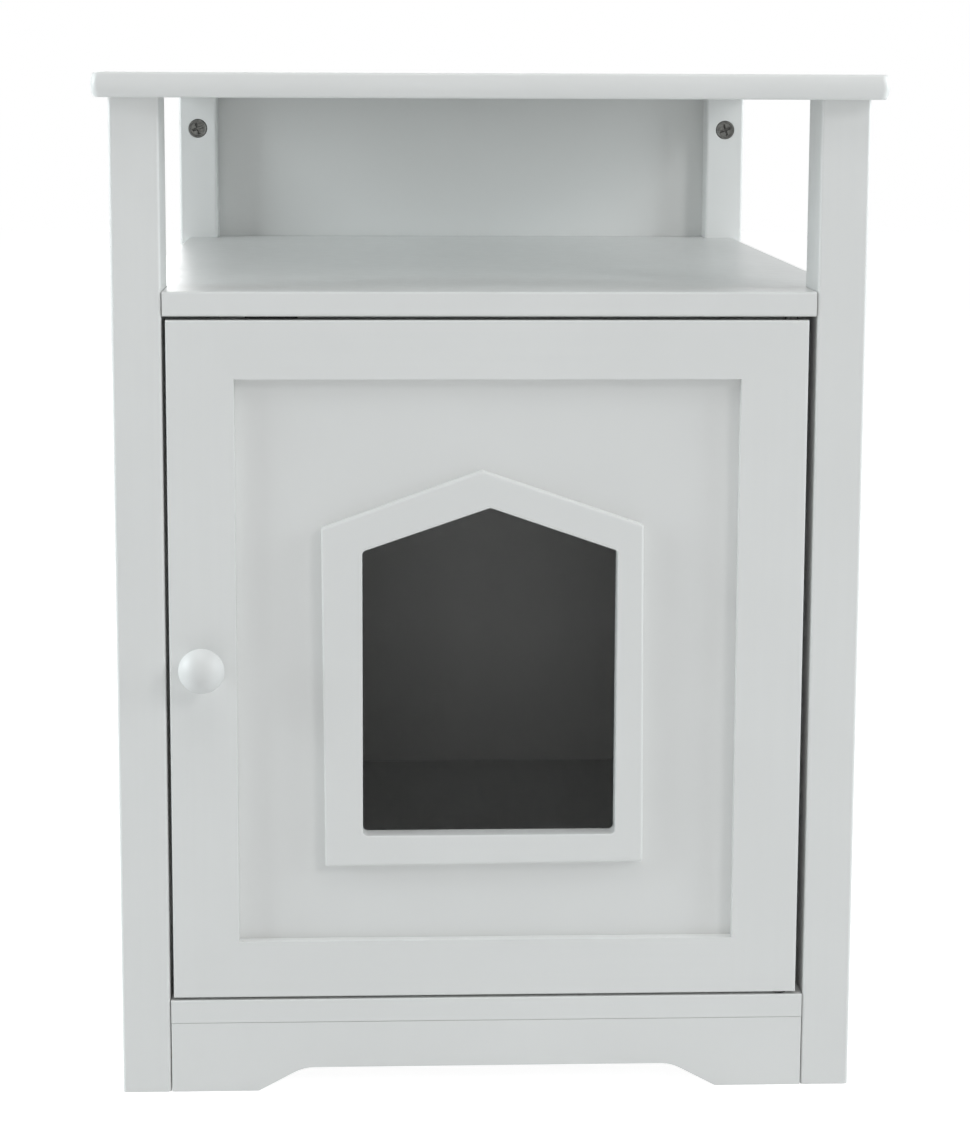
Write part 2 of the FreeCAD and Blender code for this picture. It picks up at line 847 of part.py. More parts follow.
# ---------------------------------------------------------------------------
# Posts
# ---------------------------------------------------------------------------
for side, sign in SIDES.items():
    for end, low_y in (("front", FRONT), ("back", BACK_POST_FRONT)):
        name = f"post_{end}_{side}"
        blank = extruded(name + "_blank", rectangle(size.post_width, size.post_depth), POST_TOP)
        round_edges(blank, size.post_rounding, lambda edge: runs_along(edge, 2))
        place(blank, sign * POST_MIDDLE - size.post_width / 2, low_y)
        tools = [top_dowel_bores, top_cam_bores, shelf_cam_bores, base_cam_bores, side_dowel_bores]
        if end == "front":
            tools += [board_dowel_bores, skirt_end_dowel_bores]
        else:
            tools += [back_dowel_bores, back_board_dowel_bores]
        keep(name, bored(name, blank, *tools))

# ---------------------------------------------------------------------------
# Panels between the posts
# ---------------------------------------------------------------------------
side_length = BACK_POST_FRONT - FRONT_POST_BACK
for side, sign in SIDES.items():
    name = f"side_panel_{side}"
    blank = extruded(
        name + "_blank", rectangle(size.side_thickness, side_length), size.shelf_height - size.panel_foot_gap
    )
    place(blank, sign * POST_MIDDLE - size.side_thickness / 2, FRONT_POST_BACK, size.panel_foot_gap)
    keep(name, bored(name, blank, side_dowel_bores, shelf_dowel_bores))

for name, bottom, top, bores in (
    ("back_panel_lower", size.panel_foot_gap, size.shelf_height, back_dowel_bores),
    ("back_board_upper", size.shelf_height, POST_TOP, back_board_dowel_bores),
):
    blank = extruded(name + "_blank", rectangle(2 * POST_INNER, size.back_thickness), top - bottom)
    place(blank, -POST_INNER, BACK_PANEL_FRONT, bottom)
    keep(name, bored(name, blank, bores))


def notched_board(name, half_width, thickness, rounding):
    """A board cut out at its corners to pass between the posts."""
    depth = BACK_PANEL_FRONT - size.board_gap - FRONT
    shoulder = half_width - POST_INNER + size.board_gap
    front_notch = size.post_depth + size.board_gap
    back_notch = BACK_POST_FRONT - size.board_gap - FRONT
    width = 2 * half_width
    body = extruded(
        name,
        [
            (shoulder, 0), (width - shoulder, 0), (width - shoulder, front_notch), (width, front_notch),
            (width, back_notch), (width - shoulder, back_notch), (width - shoulder, depth),
            (shoulder, depth), (shoulder, back_notch), (0, back_notch), (0, front_notch),
            (shoulder, front_notch),
        ],
        thickness,
    )
    return round_edges(body, rounding, lambda edge: runs_along(edge, 0) and lies_at(edge, 1, 0))


shelf_half = POST_OUTER - size.shelf_side_inset
shelf_blank = notched_board("shelf_blank", shelf_half, size.shelf_thickness, size.board_rounding)
place(shelf_blank, -shelf_half, FRONT, size.shelf_height)

base_half = SIDE_INNER - size.board_gap
base_blank = notched_board("base_panel_blank", base_half, size.base_thickness, size.base_rounding)
place(base_blank, -base_half, FRONT, size.skirt_height)
keep(
    "base_panel",
    bored(
        "base_panel", base_blank, board_dowel_bores, skirt_top_dowel_bores, base_cam_bores, bottom_bush_seat
    ),
)

# ---------------------------------------------------------------------------
# Front skirt: two feet, and a low arch that leaves each foot by a ramp
# ---------------------------------------------------------------------------
skirt_width = 2 * (POST_INNER - size.board_gap)
skirt_blank = extruded(
    "front_skirt_blank", rectangle(skirt_width, size.skirt_height), size.skirt_thickness, "XZ_Plane", True
)
doc.recompute()
arch_sketch = new_sketch(skirt_blank, "arch_outline", "XZ_Plane")
arch_centres = (size.skirt_foot + size.skirt_run, skirt_width - size.skirt_foot - size.skirt_run)
arch_level = size.skirt_rise - size.skirt_arch_radius


def draw_arch():
    """The opening under the skirt: floor line, ramps, arcs tangent to the flat."""
    foot, run, rise = size.skirt_foot.value, size.skirt_run.value, size.skirt_rise.value
    radius, width = size.skirt_arch_radius.value, skirt_width.value
    slant = math.asin(radius / math.hypot(run, radius - rise)) - math.atan2(radius - rise, run)
    touch = Vector(foot + run - radius * math.sin(slant), rise - radius + radius * math.cos(slant), 0)
    quarter = math.pi / 2

    def across(point):
        return Vector(width - point.x, point.y, 0)

    corner, crown = Vector(foot, 0, 0), Vector(foot + run, rise, 0)
    centre = Vector(foot + run, rise - radius, 0)
    for piece in (
        Part.LineSegment(corner, across(corner)),
        Part.LineSegment(across(corner), across(touch)),
        Part.ArcOfCircle(Part.Circle(across(centre), Vector(0, 0, 1), radius), quarter - slant, quarter),
        Part.LineSegment(across(crown), crown),
        Part.ArcOfCircle(Part.Circle(centre, Vector(0, 0, 1), radius), quarter, quarter + slant),
        Part.LineSegment(touch, corner),
    ):
        arch_sketch.addGeometry(piece, False)


FLOOR_LINE, RIGHT_RAMP, RIGHT_ARC, FLAT, LEFT_ARC, LEFT_RAMP = range(6)
draw_arch()
for kind, join in (
    ("Coincident", (FLOOR_LINE, END, RIGHT_RAMP, START)),
    ("Tangent", (RIGHT_RAMP, END, RIGHT_ARC, START)),
    ("Coincident", (RIGHT_ARC, END, FLAT, START)),
    ("Coincident", (FLAT, END, LEFT_ARC, START)),
    ("Tangent", (LEFT_ARC, END, LEFT_RAMP, START)),
    ("Coincident", (LEFT_RAMP, END, FLOOR_LINE, START)),
):
    arch_sketch.addConstraint(Sketcher.Constraint(kind, *join))
pin_point(arch_sketch, FLOOR_LINE, START, size.skirt_foot, 0)
pin_point(arch_sketch, FLOOR_LINE, END, skirt_width - size.skirt_foot, 0)
pin_point(arch_sketch, LEFT_ARC, CENTRE, arch_centres[0], arch_level)
pin_point(arch_sketch, RIGHT_ARC, CENTRE, arch_centres[1], arch_level)
pin_point(arch_sketch, FLAT, START, arch_centres[1], size.skirt_rise)
pin_point(arch_sketch, FLAT, END, arch_centres[0], size.skirt_rise)
cut_out(skirt_blank, arch_sketch, size.skirt_thickness)
round_edges(
    skirt_blank, size.base_rounding, lambda edge: runs_along(edge, 2) and lies_at(edge, 1, 0)
)
place(skirt_blank, size.board_gap - POST_INNER, FRONT)
keep("front_skirt", bored("front_skirt", skirt_blank, skirt_end_dowel_bores, skirt_top_dowel_bores))

# ---------------------------------------------------------------------------
# Door frame: grooved stiles and rails
# ---------------------------------------------------------------------------
groove_front = size.panel_recess - size.groove_clearance
groove_back = size.panel_recess + size.panel_thickness + size.groove_clearance


def grooved(width):
    """A frame member's section: width by thickness, the groove in its far edge."""
    return [
        (0, 0), (width, 0), (width, groove_front), (width - size.groove_depth, groove_front),
        (width - size.groove_depth, groove_back), (width, groove_back),
        (width, size.door_thickness), (0, size.door_thickness),
    ]


MIRRORED = Rotation(Vector(0, 1, 0), 180)


def on_outer_rim(edge):
    """The outer long edges of a stile, and the ends' edges on both faces."""
    thick, tall = size.door_thickness.value, DOOR_HEIGHT.value
    along_side = runs_along(edge, 2) and lies_at(edge, 0, 0)
    across_end = runs_along(edge, 0) and (lies_at(edge, 2, 0) or lies_at(edge, 2, tall))
    return along_side or (across_end and (lies_at(edge, 1, 0) or lies_at(edge, 1, thick)))


def stile(name):
    """A stile standing on its lower end, its outer edge on the local Z axis."""
    body = extruded(name, grooved(size.stile_width), DOOR_HEIGHT)
    return round_edges(body, size.door_rounding, on_outer_rim)


latch_blank = place(stile("latch_stile_blank"), DOOR_LATCH_EDGE, FRONT, DOOR_BOTTOM)
hinge_blank = place(stile("hinge_stile_blank"), DOOR_HINGE_EDGE, FRONT, DOOR_TOP, MIRRORED)

def rail(name):
    """A rail lying from X = 0, its outer edge at the bottom and its groove on top."""
    section_points = [(y, z) for z, y in grooved(size.rail_height)]
    body = extruded(name, section_points, RAIL_LENGTH, "YZ_Plane")
    return round_edges(body, size.door_rounding, lambda edge: runs_along(edge, 0) and lies_at(edge, 2, 0))


rail_x = DOOR_LATCH_EDGE + size.stile_width
bottom_rail_blank = place(rail("bottom_rail_blank"), rail_x, FRONT, DOOR_BOTTOM)
top_rail_blank = place(
    rail("top_rail_blank"), DOOR_HINGE_EDGE - size.stile_width, FRONT, DOOR_TOP, MIRRORED
)

# ---------------------------------------------------------------------------
# Door panel and trim, both opened by one house-shaped cutter
# ---------------------------------------------------------------------------


def house(width, wall, rise):
    """A gabled outline centred over X = 0, its floor on Z = 0."""
    half = width / 2
    return [(-half, 0), (half, 0), (half, wall), (0, wall + rise), (-half, wall)]


entry_cutter = extruded(
    "entry_cutter",
    house(size.entry_width, size.entry_wall, size.entry_rise),
    size.door_thickness,
    "XZ_Plane",
    True,
)
round_edges(entry_cutter, size.entry_corner_radius, lambda edge: runs_along(edge, 1))
place(entry_cutter, ENTRY_X, FRONT, ENTRY_Z)

panel_reach = size.groove_depth - size.panel_end_gap
panel_blank = extruded(
    "door_panel_blank",
    rectangle(RAIL_LENGTH + 2 * panel_reach, DOOR_HEIGHT - 2 * size.rail_height + 2 * panel_reach),
    size.panel_thickness,
    "XZ_Plane",
    True,
)
place(panel_blank, rail_x - panel_reach, PANEL_FRONT, DOOR_BOTTOM + size.rail_height - panel_reach)
keep("door_panel", bored("door_panel", panel_blank, entry_cutter))

trim_blank = extruded(
    "entry_trim_blank",
    house(size.trim_width, size.trim_wall, size.trim_rise),
    size.panel_recess,
    "XZ_Plane",
    True,
)
round_edges(
    trim_blank,
    size.trim_rounding,
    lambda edge: runs_along(edge, 1) or lies_at(edge, 1, 0),
)
place(
    trim_blank,
    ENTRY_X + size.trim_offset,
    FRONT,
    ENTRY_Z - size.trim_below_sill,
    Rotation(Vector(0, -1, 0), SIZES["trim_lean"]),
)
follow(trim_blank, Placement__Rotation__Angle=size.trim_lean)
trim_ring = bored("entry_trim_ring", trim_blank, entry_cutter)
doc.recompute()


def on_entry_front(edge):
    """Front edges of the opening through the trim."""
    reach = size.entry_width.value / 2 + SMALL
    low = ENTRY_Z.value - SMALL
    high = (ENTRY_Z + size.entry_wall + size.entry_rise).value + SMALL
    beside = all(abs(vertex.X - ENTRY_X.value) < reach for vertex in edge.Vertexes)
    return beside and lies_at(edge, 1, FRONT.value) and all(low < vertex.Z < high for vertex in edge.Vertexes)


entry_trim = doc.addObject("Part::Fillet", "entry_trim")
entry_trim.Base = trim_ring
entry_trim.Edges = [
    (number, SIZES["entry_rounding"], SIZES["entry_rounding"])
    for number in edges_where(trim_ring.Shape, on_entry_front)
]
keep("entry_trim", entry_trim)

# ---------------------------------------------------------------------------
# Screws, knob, catch
# ---------------------------------------------------------------------------
TO_FRONT = Rotation(Vector(0, 0, 1), FORWARD)


def countersunk(name, bite, spread=0):
    """A countersunk screw or, with some spread, the cutter for its hole."""
    shank = size.small_screw_diameter / 2 + spread
    head = size.small_screw_head / 2 + spread
    return turned(name, [(0, 0), (head, 0), (shank, head - shank), (shank, bite), (0, bite)])


def driven(body, name, span):
    """A cross recess in the head of a screw that points up from Z = 0."""
    return pocket(body, name, cross(span, size.recess_width), size.recess_depth, "XY_Plane", reverse=True)


knob_screw_radius = size.knob_screw_diameter / 2
knob_screw_length = size.knob_screw_head_height + size.door_thickness + size.knob_screw_grip
knob_screw = turned(
    "knob_screw",
    [
        (0, 0), (size.knob_screw_head / 2, 0), (size.knob_screw_head / 2, size.knob_screw_head_height),
        (knob_screw_radius, size.knob_screw_head_height), (knob_screw_radius, knob_screw_length),
        (0, knob_screw_length),
    ],
)
driven(knob_screw, "knob_screw_recess", size.knob_screw_head / 2)
place(knob_screw, KNOB_X, DOOR_BACK + size.knob_screw_head_height, KNOB_Z, TO_FRONT)
keep("knob_screw", knob_screw)

knob = doc.addObject("PartDesign::Body", "knob")
knob_sketch = new_sketch(knob, "knob_profile", "XZ_Plane")
knob_bore = size.knob_screw_grip + size.bore_end_gap
knob_points = [
    (knob_screw_radius, 0), (size.knob_foot_diameter / 2, 0),
    (size.knob_neck_diameter / 2, size.knob_neck_height), (size.knob_diameter / 2, size.knob_rim_height),
    (0, size.knob_reach), (0, knob_bore), (knob_screw_radius, knob_bore),
]


def hollow_arc(start, end, radius):
    """An arc from start to end that bends towards the knob's axis."""
    chord = end - start
    sagitta = radius - math.sqrt(radius ** 2 - (chord.Length / 2) ** 2)
    inward = Vector(-chord.y, chord.x, 0).normalize()
    return Part.Arc(start, (start + end) / 2 + inward * sagitta, end)


def draw_knob():
    """Foot, hollow neck, spreading underside and a dome centred on the axis."""
    flat = [Vector(Size.of(x).value, Size.of(z).value, 0) for x, z in knob_points]
    rim, tip = flat[3], flat[4]
    rise = tip.y - rim.y
    dome_radius = (rim.x ** 2 + rise ** 2) / (2 * rise)
    dome_middle = Vector(dome_radius * math.sin(0.5 * math.asin(rim.x / dome_radius)), 0, 0)
    dome_middle.y = tip.y - dome_radius + math.sqrt(dome_radius ** 2 - dome_middle.x ** 2)
    for piece in (
        Part.LineSegment(flat[0], flat[1]),
        hollow_arc(flat[1], flat[2], size.knob_foot_curve.value),
        hollow_arc(flat[2], flat[3], size.knob_under_curve.value),
        Part.Arc(rim, dome_middle, tip),
        Part.LineSegment(flat[4], flat[5]),
        Part.LineSegment(flat[5], flat[6]),
        Part.LineSegment(flat[6], flat[0]),
    ):
        knob_sketch.addGeometry(piece, False)


def end_at(edge, point):
    """Which end of a sketch edge lies on a point."""
    start = knob_sketch.getPoint(edge, START)
    x, z = (Size.of(length).value for length in point)
    return START if math.hypot(start.x - x, start.y - z) < SMALL else END


FOOT_ARC, UNDER_ARC, DOME_ARC = range(1, 4)
draw_knob()
for edge in range(len(knob_points)):
    following = (edge + 1) % len(knob_points)
    joint = knob_points[following]
    ends = (edge, end_at(edge, joint), following, end_at(following, joint))
    knob_sketch.addConstraint(Sketcher.Constraint("Coincident", *ends))
    pin_point(knob_sketch, following, ends[3], *joint)
for edge, radius in ((FOOT_ARC, size.knob_foot_curve), (UNDER_ARC, size.knob_under_curve)):
    number = knob_sketch.addConstraint(Sketcher.Constraint("Radius", edge, radius.value))
    knob_sketch.setExpression(f"Constraints[{number}]", radius.text)
knob_sketch.addConstraint(Sketcher.Constraint("PointOnObject", DOME_ARC, CENTRE, UPRIGHT_AXIS))
knob_turning = knob.newObject("PartDesign::Revolution", "knob_turning")
knob_turning.Profile = knob_sketch
knob_turning.ReferenceAxis = (knob_sketch, ["V_Axis"])
knob_turning.Angle = 360
round_edges(
    knob,
    size.knob_rim_rounding,
    lambda edge: lies_at(edge, 2, size.knob_rim_height.value) and edge.Curve.TypeId == "Part::GeomCircle",
)
keep("knob", place(knob, KNOB_X, FRONT, KNOB_Z, TO_FRONT))

# The catch: a case under the shelf with a magnet between two pole plates.
catch_low = size.shelf_height - size.catch_height
catch_case_blank = extruded(
    "catch_case_blank", rectangle(size.catch_width, size.catch_depth), size.catch_height
)
pocket_low = (size.catch_height - size.catch_pocket_height) / 2
pocket_left = (size.catch_width - size.catch_pocket_width) / 2
pocket(
    catch_case_blank,
    "catch_pocket",
    [
        (pocket_left, pocket_low),
        (pocket_left + size.catch_pocket_width, pocket_low),
        (pocket_left + size.catch_pocket_width, pocket_low + size.catch_pocket_height),
        (pocket_left, pocket_low + size.catch_pocket_height),
    ],
    size.catch_pocket_depth,
    "XZ_Plane",
)
round_edges(catch_case_blank, size.catch_rounding, lambda edge: runs_along(edge, 2) and (
    lies_at(edge, 1, 0) or lies_at(edge, 1, size.catch_depth.value)
) and (lies_at(edge, 0, 0) or lies_at(edge, 0, size.catch_width.value)))
place(catch_case_blank, CATCH_X - size.catch_width / 2, CATCH_FRONT, catch_low)

catch_screw_length = size.catch_height + size.catch_screw_bite
catch_screw_places = [
    (CATCH_X + sign * size.catch_screw_spacing / 2, CATCH_FRONT + size.catch_screw_back, catch_low)
    for sign in SIDES.values()
]
catch_screw_master = countersunk("catch_screw_master", catch_screw_length)
driven(catch_screw_master, "catch_screw_recess", size.small_screw_diameter)
catch_way_master = countersunk(
    "catch_way_master", catch_screw_length + size.bore_end_gap, size.bore_clearance
)
catch_screws, catch_ways = [
    group(
        label,
        [copy_of(master, f"{label}_{number}", *point, ALONG["z"])
         for number, point in enumerate(catch_screw_places, start=1)],
    )
    for label, master in (("catch_screws", catch_screw_master), ("catch_screw_ways", catch_way_master))
]
keep("catch_screws", catch_screws)
keep("catch_case", bored("catch_case", catch_case_blank, catch_ways))

plate_width = size.catch_pocket_width - 2 * size.bore_clearance
magnet_height = size.catch_pocket_height - 2 * size.pole_thickness
plate_left = CATCH_X - plate_width / 2
poles = []
for label, low in (("lower", pocket_low), ("upper", pocket_low + size.pole_thickness + magnet_height)):
    pole_outline = rectangle(plate_width, size.catch_pocket_depth + size.pole_reach)
    pole = extruded(f"{label}_pole", pole_outline, size.pole_thickness)
    poles.append(place(pole, plate_left, CATCH_FRONT - size.pole_reach, catch_low + low))
keep("catch_pole_plates", group("catch_pole_plates", poles))
magnet = extruded("catch_magnet", rectangle(plate_width, size.magnet_depth), magnet_height)
place(
    magnet,
    plate_left,
    CATCH_FRONT + size.catch_pocket_depth - size.magnet_depth,
    catch_low + pocket_low + size.pole_thickness,
)
keep("catch_magnet", magnet)

strike_screw = countersunk("strike_screw", size.strike_screw_bite)
driven(strike_screw, "strike_screw_recess", size.small_screw_diameter)
keep("strike_screw", place(strike_screw, CATCH_X, STRIKE_BACK, CATCH_Z, TO_FRONT))
strike_way = place(
    countersunk("strike_way", size.strike_screw_bite + size.bore_end_gap, size.bore_clearance),
    CATCH_X, STRIKE_BACK, CATCH_Z, TO_FRONT,
)
strike_blank = extruded(
    "strike_plate_blank",
    rectangle(size.strike_width, size.strike_height),
    size.strike_thickness,
    "XZ_Plane",
    True,
)
place(strike_blank, CATCH_X - size.strike_width / 2, DOOR_BACK, CATCH_Z - size.strike_height / 2)
keep("strike_plate", bored("strike_plate", strike_blank, strike_way))

# ---------------------------------------------------------------------------
# Pieces that carry the door's fittings
# ---------------------------------------------------------------------------
knob_screw_way = bore(
    "knob_screw_way", knob_screw_radius + size.bore_clearance, size.door_thickness,
    KNOB_X, FRONT, KNOB_Z, ALONG["y"],
)
keep("door_latch_stile", bored("door_latch_stile", latch_blank, door_dowel_bores, knob_screw_way))
keep("door_hinge_stile", bored("door_hinge_stile", hinge_blank, door_dowel_bores, pin_seats))
keep("door_bottom_rail", bored("door_bottom_rail", bottom_rail_blank, door_dowel_bores))
keep("door_top_rail", bored("door_top_rail", top_rail_blank, door_dowel_bores, strike_way))
keep(
    "shelf",
    bored("shelf", shelf_blank, board_dowel_bores, shelf_dowel_bores, shelf_cam_bores, top_bush_seat,
          catch_ways),
)

# ---------------------------------------------------------------------------
# Check and write
# ---------------------------------------------------------------------------
doc.recompute()
for obj in doc.Objects:
    if "Invalid" in obj.State or "Error" in obj.State:
        raise RuntimeError(f"{obj.Label}: {obj.State}")
os.makedirs("parts", exist_ok=True)
for name, obj in finished.items():
    if obj.Shape.isNull() or not obj.Shape.isValid() or not obj.Shape.Solids:
        raise RuntimeError(f"{name} has no valid solid")
    obj.Shape.exportStep(os.path.join("parts", name + ".step"))
    print(f"{name}: {len(obj.Shape.Solids)} solid(s), {obj.Shape.Volume:.0f} mm3")
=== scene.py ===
"""Looks of a white litter box cabinet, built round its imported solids.

Metres, in the cabinet's own frame: +Z up, the front faces -Y, the floor is at
zero. The solids of the boards stay and get their paint. The top board, the
house-shaped trim, the knob and the cam locks are replaced by finer surfaces.
"""

import logging
import math
from dataclasses import dataclass, field
from enum import Enum
from typing import Any, Iterable, Optional, Sequence

import bmesh
import bpy
import numpy as np
from mathutils import Matrix, Vector

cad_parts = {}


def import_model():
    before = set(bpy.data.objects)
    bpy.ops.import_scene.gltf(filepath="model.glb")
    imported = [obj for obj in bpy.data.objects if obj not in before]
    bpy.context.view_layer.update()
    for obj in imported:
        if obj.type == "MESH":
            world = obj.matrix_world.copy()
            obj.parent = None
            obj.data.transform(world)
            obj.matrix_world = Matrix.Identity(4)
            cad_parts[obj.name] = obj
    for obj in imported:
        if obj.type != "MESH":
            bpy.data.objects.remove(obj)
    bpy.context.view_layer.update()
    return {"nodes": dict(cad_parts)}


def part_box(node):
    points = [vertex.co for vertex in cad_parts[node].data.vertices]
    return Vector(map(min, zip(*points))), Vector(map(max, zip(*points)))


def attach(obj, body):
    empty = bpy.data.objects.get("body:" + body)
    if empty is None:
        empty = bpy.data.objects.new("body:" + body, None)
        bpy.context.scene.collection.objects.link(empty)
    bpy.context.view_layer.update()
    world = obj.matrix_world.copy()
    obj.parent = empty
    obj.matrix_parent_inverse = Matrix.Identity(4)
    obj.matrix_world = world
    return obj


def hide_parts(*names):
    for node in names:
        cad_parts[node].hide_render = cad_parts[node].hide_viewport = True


LOG = logging.getLogger("cabinet")
MM = 0.001
MERGE_DISTANCE = 1e-7

Socket = bpy.types.NodeSocket
Colour = tuple[float, float, float]
Span = tuple[float, float]

# the numbers of a colour Mix node's two colours and of its result
FIRST_COLOUR, SECOND_COLOUR, MIXED_COLOUR = 6, 7, 2


# ---------------------------------------------------------------------------
# Node trees
# ---------------------------------------------------------------------------
class Graph:
    """A node tree that is filled by naming nodes and their sockets."""

    def __init__(self, tree: bpy.types.NodeTree) -> None:
        """Empties a tree and keeps it.

        Args:
            tree: The node tree of a material or of the world.
        """
        self.tree = tree
        tree.nodes.clear()

    def add(
        self, kind: str, inputs: Optional[dict[Any, Any]] = None, **settings: Any
    ) -> bpy.types.Node:
        """Adds a node.

        Args:
            kind: The node's type, without its "ShaderNode" part.
            inputs: A value or a socket for each input, by name or by number.
            settings: The node's own properties.

        Returns:
            The node.
        """
        node = self.tree.nodes.new("ShaderNode" + kind)
        for name, value in settings.items():
            setattr(node, name, value)
        for name, value in (inputs or {}).items():
            if isinstance(value, Socket):
                self.tree.links.new(value, node.inputs[name])
            else:
                node.inputs[name].default_value = value
        return node

    def place(self, stretch: Sequence[float] = (1, 1, 1), shift: Sequence[float] = (0, 0, 0)) -> Socket:
        """The piece's own coordinates, stretched and shifted.

        Args:
            stretch: Factor along each axis.
            shift: Offset along each axis, in metres.

        Returns:
            The coordinates.
        """
        own = self.add("TexCoord").outputs["Object"]
        mapped = self.add("Mapping", {"Vector": own, "Location": tuple(shift), "Scale": tuple(stretch)})
        return mapped.outputs["Vector"]

    def noise(self, across: float, detail: float = 3.0, stretch: Sequence[float] = (1, 1, 1),
              shift: Sequence[float] = (0, 0, 0), roughness: float = 0.5) -> Socket:
        """Smooth noise with blotches of a given size.

        Args:
            across: Size of a blotch in metres.
            detail: Number of finer octaves.
            stretch: Factor along each axis: small along a grain.
            shift: Offset along each axis, in metres.
            roughness: Strength of the finer octaves.

        Returns:
            A value about 0.5.
        """
        node = self.add(
            "TexNoise",
            {"Vector": self.place(stretch, shift), "Scale": 1 / across, "Detail": detail,
             "Roughness": roughness},
        )
        return node.outputs["Fac"]

    def specks(self, apart: float, size: float, shift: Sequence[float] = (0, 0, 0)) -> Socket:
        """Small round dots, one in each cell of a scattered pattern.

        Args:
            apart: Distance between dots in metres.
            size: Radius of a dot as a share of that distance.
            shift: Offset along each axis, in metres.

        Returns:
            1 in the middle of a dot and 0 off it.
        """
        cells = self.add(
            "TexVoronoi", {"Vector": self.place((1, 1, 1), shift), "Scale": 1 / apart}, feature="F1"
        )
        return self.span(cells.outputs["Distance"], (0.0, size), (1.0, 0.0))

    def span(self, value: Socket, source: Span, target: Span) -> Socket:
        """Maps a range of values to another, clamped.

        Args:
            value: The value to map.
            source: Low and high end of what comes in.
            target: What they become.

        Returns:
            The mapped value.
        """
        node = self.add(
            "MapRange",
            {"Value": value, "From Min": source[0], "From Max": source[1],
             "To Min": target[0], "To Max": target[1]},
            clamp=True,
        )
        return node.outputs["Result"]

    def blend(self, share: Socket, first: Any, second: Any) -> Socket:
        """Mixes two colours.

        Args:
            share: How much of the second.
            first: A colour or a socket.
            second: A colour or a socket.

        Returns:
            The mixed colour.
        """
        node = self.add("Mix", {"Factor": share}, data_type="RGBA")
        for number, value in ((FIRST_COLOUR, first), (SECOND_COLOUR, second)):
            if isinstance(value, Socket):
                self.tree.links.new(value, node.inputs[number])
            else:
                node.inputs[number].default_value = (*value, 1.0)
        return node.outputs[MIXED_COLOUR]

    def relief(self, layers: Iterable[tuple[Socket, float]]) -> Socket:
        """Stacks bumps.

        Args:
            layers: For each, its height pattern and its depth in metres.

        Returns:
            The normal with all the bumps in it.
        """
        normal: Optional[Socket] = None
        for height, depth in layers:
            inputs: dict[Any, Any] = {"Height": height, "Distance": depth}
            if normal is not None:
                inputs["Normal"] = normal
            normal = self.add("Bump", inputs).outputs["Normal"]
        assert normal is not None
        return normal

    def surface(self, shader: Socket, kind: str = "OutputMaterial") -> None:
        """Ends the tree.

        Args:
            shader: What the surface is made of.
            kind: The output node's type.
        """
        self.add(kind, {"Surface": shader})


def new_material(name: str) -> tuple[bpy.types.Material, Graph]:
    """An empty material and its graph.

    Args:
        name: The finish's name.

    Returns:
        The material and the graph that fills it.
    """
    material = bpy.data.materials.new(name)
    material.use_nodes = True
    return material, Graph(material.node_tree)


# ---------------------------------------------------------------------------
# Finishes
# ---------------------------------------------------------------------------
ALL: Span = (0.0, 1.0)
NOISE_MIDDLE: Span = (0.35, 0.65)
NOISE_BODY: Span = (0.3, 0.7)


class Shift(Enum):
    """Offsets in metres that keep the patterns on one surface out of step."""

    PEEL = (0.3, 0.1, 0.2)
    WAVE = (0.7, 0.4, 0.1)
    STREAK = (0.2, 0.9, 0.5)
    SHEEN = (0.1, 0.6, 0.3)
    FLECK = (0.2, 0.2, 0.2)
    PIT = (0.4, 0.2, 0.6)


class Grain(Enum):
    """Which way the wood's fibres run under the paint."""

    UPRIGHT = (1.0, 1.0, 0.02)
    SIDEWAYS = (0.02, 1.0, 1.0)
    NONE = (1.0, 1.0, 1.0)


@dataclass(frozen=True)
class SatinPaint:
    """Sprayed white paint over sanded board or wood.

    Colour drifts a little over a hand's width, the film has an orange-peel
    relief, a few dust nibs, and faint fibres where the core is solid wood.
    """

    name: str
    tone: Colour = (0.748, 0.752, 0.742)
    shade: Colour = (0.728, 0.732, 0.722)
    gloss: Span = (0.30, 0.40)
    gloss_across: float = 9 * MM
    refraction: float = 1.47
    drift_across: float = 140 * MM
    peel_across: float = 2.4 * MM
    peel_depth: float = 0.012 * MM
    wave_across: float = 38 * MM
    wave_depth: float = 0.05 * MM
    nib_apart: float = 23 * MM
    nib_share: float = 0.011
    nib_depth: float = 0.05 * MM
    grain: Grain = Grain.NONE
    grain_across: float = 1.1 * MM
    grain_depth: float = 0.014 * MM
    streak_across: float = 4.5 * MM
    streak_range: Span = (0.42, 0.62)
    streak_strength: float = 0.35

    def build(self) -> bpy.types.Material:
        """Makes the material.

        Returns:
            The material.
        """
        material, graph = new_material(self.name)
        drift = graph.span(graph.noise(self.drift_across, detail=2.0), NOISE_MIDDLE, ALL)
        colour = graph.blend(drift, self.shade, self.tone)
        peel = graph.noise(self.peel_across, detail=2.0, shift=Shift.PEEL.value)
        wave = graph.noise(self.wave_across, detail=1.0, shift=Shift.WAVE.value)
        nibs = graph.specks(self.nib_apart, self.nib_share)
        layers = [(wave, self.wave_depth), (peel, self.peel_depth), (nibs, self.nib_depth)]
        if self.grain is not Grain.NONE:
            along = self.grain.value
            fibres = graph.noise(self.grain_across, detail=4.0, stretch=along, roughness=0.62)
            layers.append((fibres, self.grain_depth))
            blotches = graph.noise(self.streak_across, stretch=along, shift=Shift.STREAK.value)
            streaks = graph.span(blotches, self.streak_range, (0.0, self.streak_strength))
            colour = graph.blend(streaks, colour, self.shade)
        sheen = graph.noise(self.gloss_across, detail=4.0, shift=Shift.SHEEN.value)
        shader = graph.add(
            "BsdfPrincipled",
            {"Base Color": colour, "Roughness": graph.span(sheen, NOISE_BODY, self.gloss),
             "IOR": self.refraction, "Normal": graph.relief(layers)},
        )
        graph.surface(shader.outputs["BSDF"])
        return material


